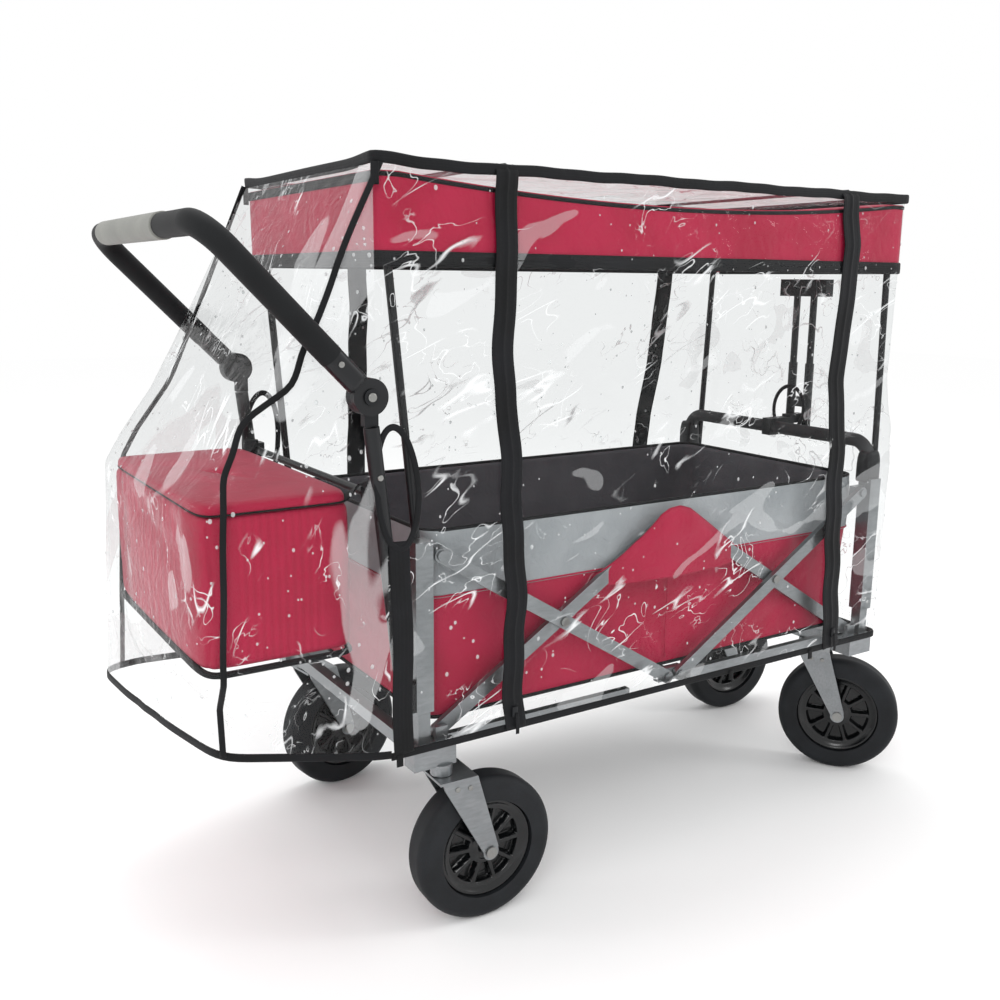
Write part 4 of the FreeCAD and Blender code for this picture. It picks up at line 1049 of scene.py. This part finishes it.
bolt = finishes["steel"]
studSize = {"hubBolt": (0.0062, 0.0022), "rivet": (0.0042, 0.0018), "stayRivet": (0.0042, 0.0020),
            "snap": (0.0055, 0.0022)}
hub = joints["push_handle_tilt"]["pos_m"]
armPlan = {"rise": math.radians(45.5), "from": 0.024, "to": 0.082, "halfY": 0.26875, "tall": 0.0315,
           "thick": 0.0226}
for side, word in ((-1, "right"), (1, "left")):
    # moulded cover of each lower arm, from the hub up to the foam
    reach = np.linspace(armPlan["from"], armPlan["to"], 10)
    armPath = np.column_stack([hub[0] - reach * math.cos(armPlan["rise"]),
                               np.full(10, side * armPlan["halfY"]),
                               hub[2] + reach * math.sin(armPlan["rise"])])
    sweep(f"arm_cover_{word}", armPath, (0, side, 0), ribbon(armPlan["tall"], armPlan["thick"], 3.2, 18),
          finishes["black_tube"], "push_handle_arm")
for side, word in ((-1, "right"), (1, "left")):
    low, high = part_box(f"hub_button_{word}")
    face = low.y if side < 0 else high.y
    makeStud(f"hub_bolt_{word}", ((low.x + high.x) / 2, face, (low.z + high.z) / 2), (0, side, 0),
             studSize["hubBolt"], bolt, f"hub_button_{word}")
    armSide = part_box("push_handle")[0 if side < 0 else 1].y
    makeStud(f"arm_rivet_{word}", (hub[0] - 0.0435, armSide, hub[2] + 0.0443), (0, side, 0),
             studSize["rivet"], bolt, "push_handle_arm")
    stayLow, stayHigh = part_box("handle_stays")
    staySide = stayLow.y if side < 0 else stayHigh.y
    makeStud(f"stay_rivet_{word}", (midX - 0.5475, staySide - side * 0.0006, 0.702), (0, side, 0),
             studSize["stayRivet"], bolt, "rear_carriage")
    makeStud(f"flap_snap_{word}", place((0.0, side * 0.2625, 0.586)), (0, side, 0.35), studSize["snap"],
             finishes["black_plastic"], "top_hinges")
for corner in ("rear_right", "rear_left", "front_right", "front_left"):
    wheel = np.array(joints[corner + "_spin"]["pos_m"], float)
    stem = np.array(joints[corner + "_swivel"]["pos_m"], float)
    ahead = unit((wheel - stem) * [1, 1, 0])
    axis = unit(np.array(joints[corner + "_spin"]["axis"], float))
    for k, (reach, height) in enumerate(((0.010, 0.231), (0.031, 0.229))):
        for flip in (-1, 1):
            spot = np.array([stem[0], stem[1], 0]) + ahead * reach + axis * flip * 0.034 + [0, 0, height]
            makeStud(f"{corner}_fork_rivet_{k}_{'a' if flip < 0 else 'b'}", spot, axis * flip,
                     studSize["rivet"], bolt, corner + "_caster")

for name, x in (("rear_zip", -0.3355), ("front_zip", 0.3722)):
    z = np.linspace(0.318, 0.334, 6)
    body = onSide(np.full(6, x), z, -1, 0.0058)
    squashWith(addTrim(name + "_slider", place(body), (0, -1, 0), ribbon(*trimSize["slider"], 3, 12),
                       material=finishes["black_plastic"]))
    z = np.linspace(0.292, 0.324, 8)
    pull = onSide(np.full(8, x + 0.002), z, -1, 0.0088 + 0.002 * np.sin((0.324 - z) * 60))
    squashWith(addTrim(name + "_pull_tab", place(pull), (0, -1, 0), ribbon(*trimSize["pullTab"], 3, 10)))
for k, x in enumerate((-0.528, 0.118, 0.318)):
    z = np.linspace(0.284, 0.302, 6)
    tab = onSide(np.full(6, x), z, -1, 0.0022)
    squashWith(addTrim(f"hem_tab_{k}", place(tab), (0, -1, 0), ribbon(*trimSize["hemTab"], 3, 10)))
for side, word in ((-1, "right"), (1, "left")):
    z = np.linspace(0.335, 0.488, 20)
    seam = np.column_stack([0.0008 * np.sin(z * 60), np.full(20, side * 0.2352), z])
    squashWith(addTrim(f"basket_middle_seam_{word}", place(seam), (0, side, 0),
                       ribbon(0.0022, 0.0016, 2.2, 8), material=crimsonCloth, slot="red_fabric"))
print("rivets and sliders made")

# moulded caps where the end rail goes into its posts: rounded squares, drawn in round the rail at the top
railLow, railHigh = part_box("front_end_rail")
capPlan = {"railRadius": 0.0125, "halfX": 0.0185, "halfY": 0.0165,
           "heights": [0.5975, 0.6000, 0.630, 0.642, 0.650, 0.655],
           "shares": [0.94, 1.0, 1.0, 0.96, 0.88, 0.76]}
for side, word in ((-1, "right"), (1, "left")):
    square = ribbon(2.0, 2.0, 4.5, 28) * [capPlan["halfX"], capPlan["halfY"]]
    foot = [railHigh.x - capPlan["railRadius"], side * (railHigh.y - capPlan["railRadius"])]
    rings = [np.column_stack([foot + square * share, np.full(28, z)])
             for share, z in zip(capPlan["shares"], capPlan["heights"])]
    ends = list(range(28))
    addPiece(f"rail_end_cap_{word}", np.array(rings), gridFaces(6, 28, False, True),
             finishes["black_plastic"], "front_carriage",
             caps=[ends[::-1], [k + 5 * 28 for k in ends]])

# grey sleeve of the push handle

gripLow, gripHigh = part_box("push_handle_grip")
sleevePlan = {"from": -0.114, "to": 0.200, "barRadius": 0.0165, "wide": 0.0362}
sleeveY = np.linspace(sleevePlan["from"], sleevePlan["to"], 40)
sleeve = np.column_stack([np.full(40, gripLow.x + sleevePlan["barRadius"] - midX), sleeveY,
                          np.full(40, gripHigh.z - sleevePlan["barRadius"])])
sleeveRound = ribbon(sleevePlan["wide"], sleevePlan["wide"], 2.0, 40)
sweep("handle_grip_sleeve", place(sleeve), (0, 0, 1), sleeveRound, greyVinyl, "push_handle_arm")
print("handle sleeve made")

# studio

studio = {"lens": 38.04, "yaw": 32.5673, "pitch": -11.7582, "roll": 0.4856,
          "place": (-1.162, -1.5284, 0.9635)}


def setCamera(s):
    # yaw from +Y towards +X, pitch up, and roll, in degrees
    yaw, pitch, roll = (math.radians(s[key]) for key in ("yaw", "pitch", "roll"))
    look = np.array([math.sin(yaw) * math.cos(pitch), math.cos(yaw) * math.cos(pitch), math.sin(pitch)])
    right = np.array([math.cos(yaw), -math.sin(yaw), 0.0])
    up = np.cross(right, look)
    right, up = right * math.cos(roll) + up * math.sin(roll), up * math.cos(roll) - right * math.sin(roll)
    camera = bpy.data.objects.new("camera", bpy.data.cameras.new("camera"))
    bpy.context.scene.collection.objects.link(camera)
    camera.data.lens = s["lens"]
    camera.data.sensor_width = 36.0
    camera.data.clip_end = 60
    turned = np.column_stack([right, up, -look])
    camera.matrix_world = Matrix.Translation(place(s["place"])) @ Matrix(turned.tolist()).to_4x4()
    bpy.context.scene.camera = camera


def addLight(name, spot, target, size, power):
    # a rectangular softbox turned to its target
    lamp = bpy.data.lights.new(name, "AREA")
    lamp.shape = "RECTANGLE"
    lamp.size, lamp.size_y = size
    lamp.energy = power
    light = bpy.data.objects.new(name, lamp)
    bpy.context.scene.collection.objects.link(light)
    back = unit(np.array(spot, float) - np.array(target, float))
    across = unit(np.cross([0.0, 0.0, 1.0], back))
    turned = np.column_stack([across, np.cross(back, across), back])
    light.matrix_world = Matrix.Translation(spot) @ Matrix(turned.tolist()).to_4x4()


setCamera(studio)
addLight("key softbox", (-2.2, -2.4, 2.6), (0, 0, 0.5), (1.1, 1.1), 26)
addLight("front softbox", (2.6, -2.0, 2.2), (0.2, 0, 0.5), (0.6, 1.5), 18)
addLight("top softbox", (0.0, 0.6, 3.4), (0, 0, 0.5), (1.8, 1.0), 26)
addLight("rear softbox", (-2.8, 1.2, 1.8), (0, 0, 0.6), (0.5, 1.5), 14)

world = bpy.data.worlds.new("white studio")
world.use_nodes = True
world.node_tree.nodes["Background"].inputs["Color"].default_value = (1, 1, 1, 1)
world.node_tree.nodes["Background"].inputs["Strength"].default_value = 1.0
bpy.context.scene.world = world
bpy.context.scene.view_settings.view_transform = "Standard"
bpy.context.scene.cycles.transparent_max_bounces = 40

floorMaterial, floorTree, _ = startMaterial("white studio floor")
floorShader = addNode(floorTree, "BsdfPrincipled",
                      {"Base Color": linear("#FEFEFE"), "Roughness": 1.0, "Specular IOR Level": 0.0})
addNode(floorTree, "OutputMaterial", None, {"Surface": floorShader})
floorMesh = bpy.data.meshes.new("floor")
floorMesh.from_pydata([(-12, -12, 0), (12, -12, 0), (12, 12, 0), (-12, 12, 0)], [], [(0, 1, 2, 3)])
floorMesh.materials.append(floorMaterial)
floor = bpy.data.objects.new("floor", floorMesh)
bpy.context.scene.collection.objects.link(floor)
print("studio made")
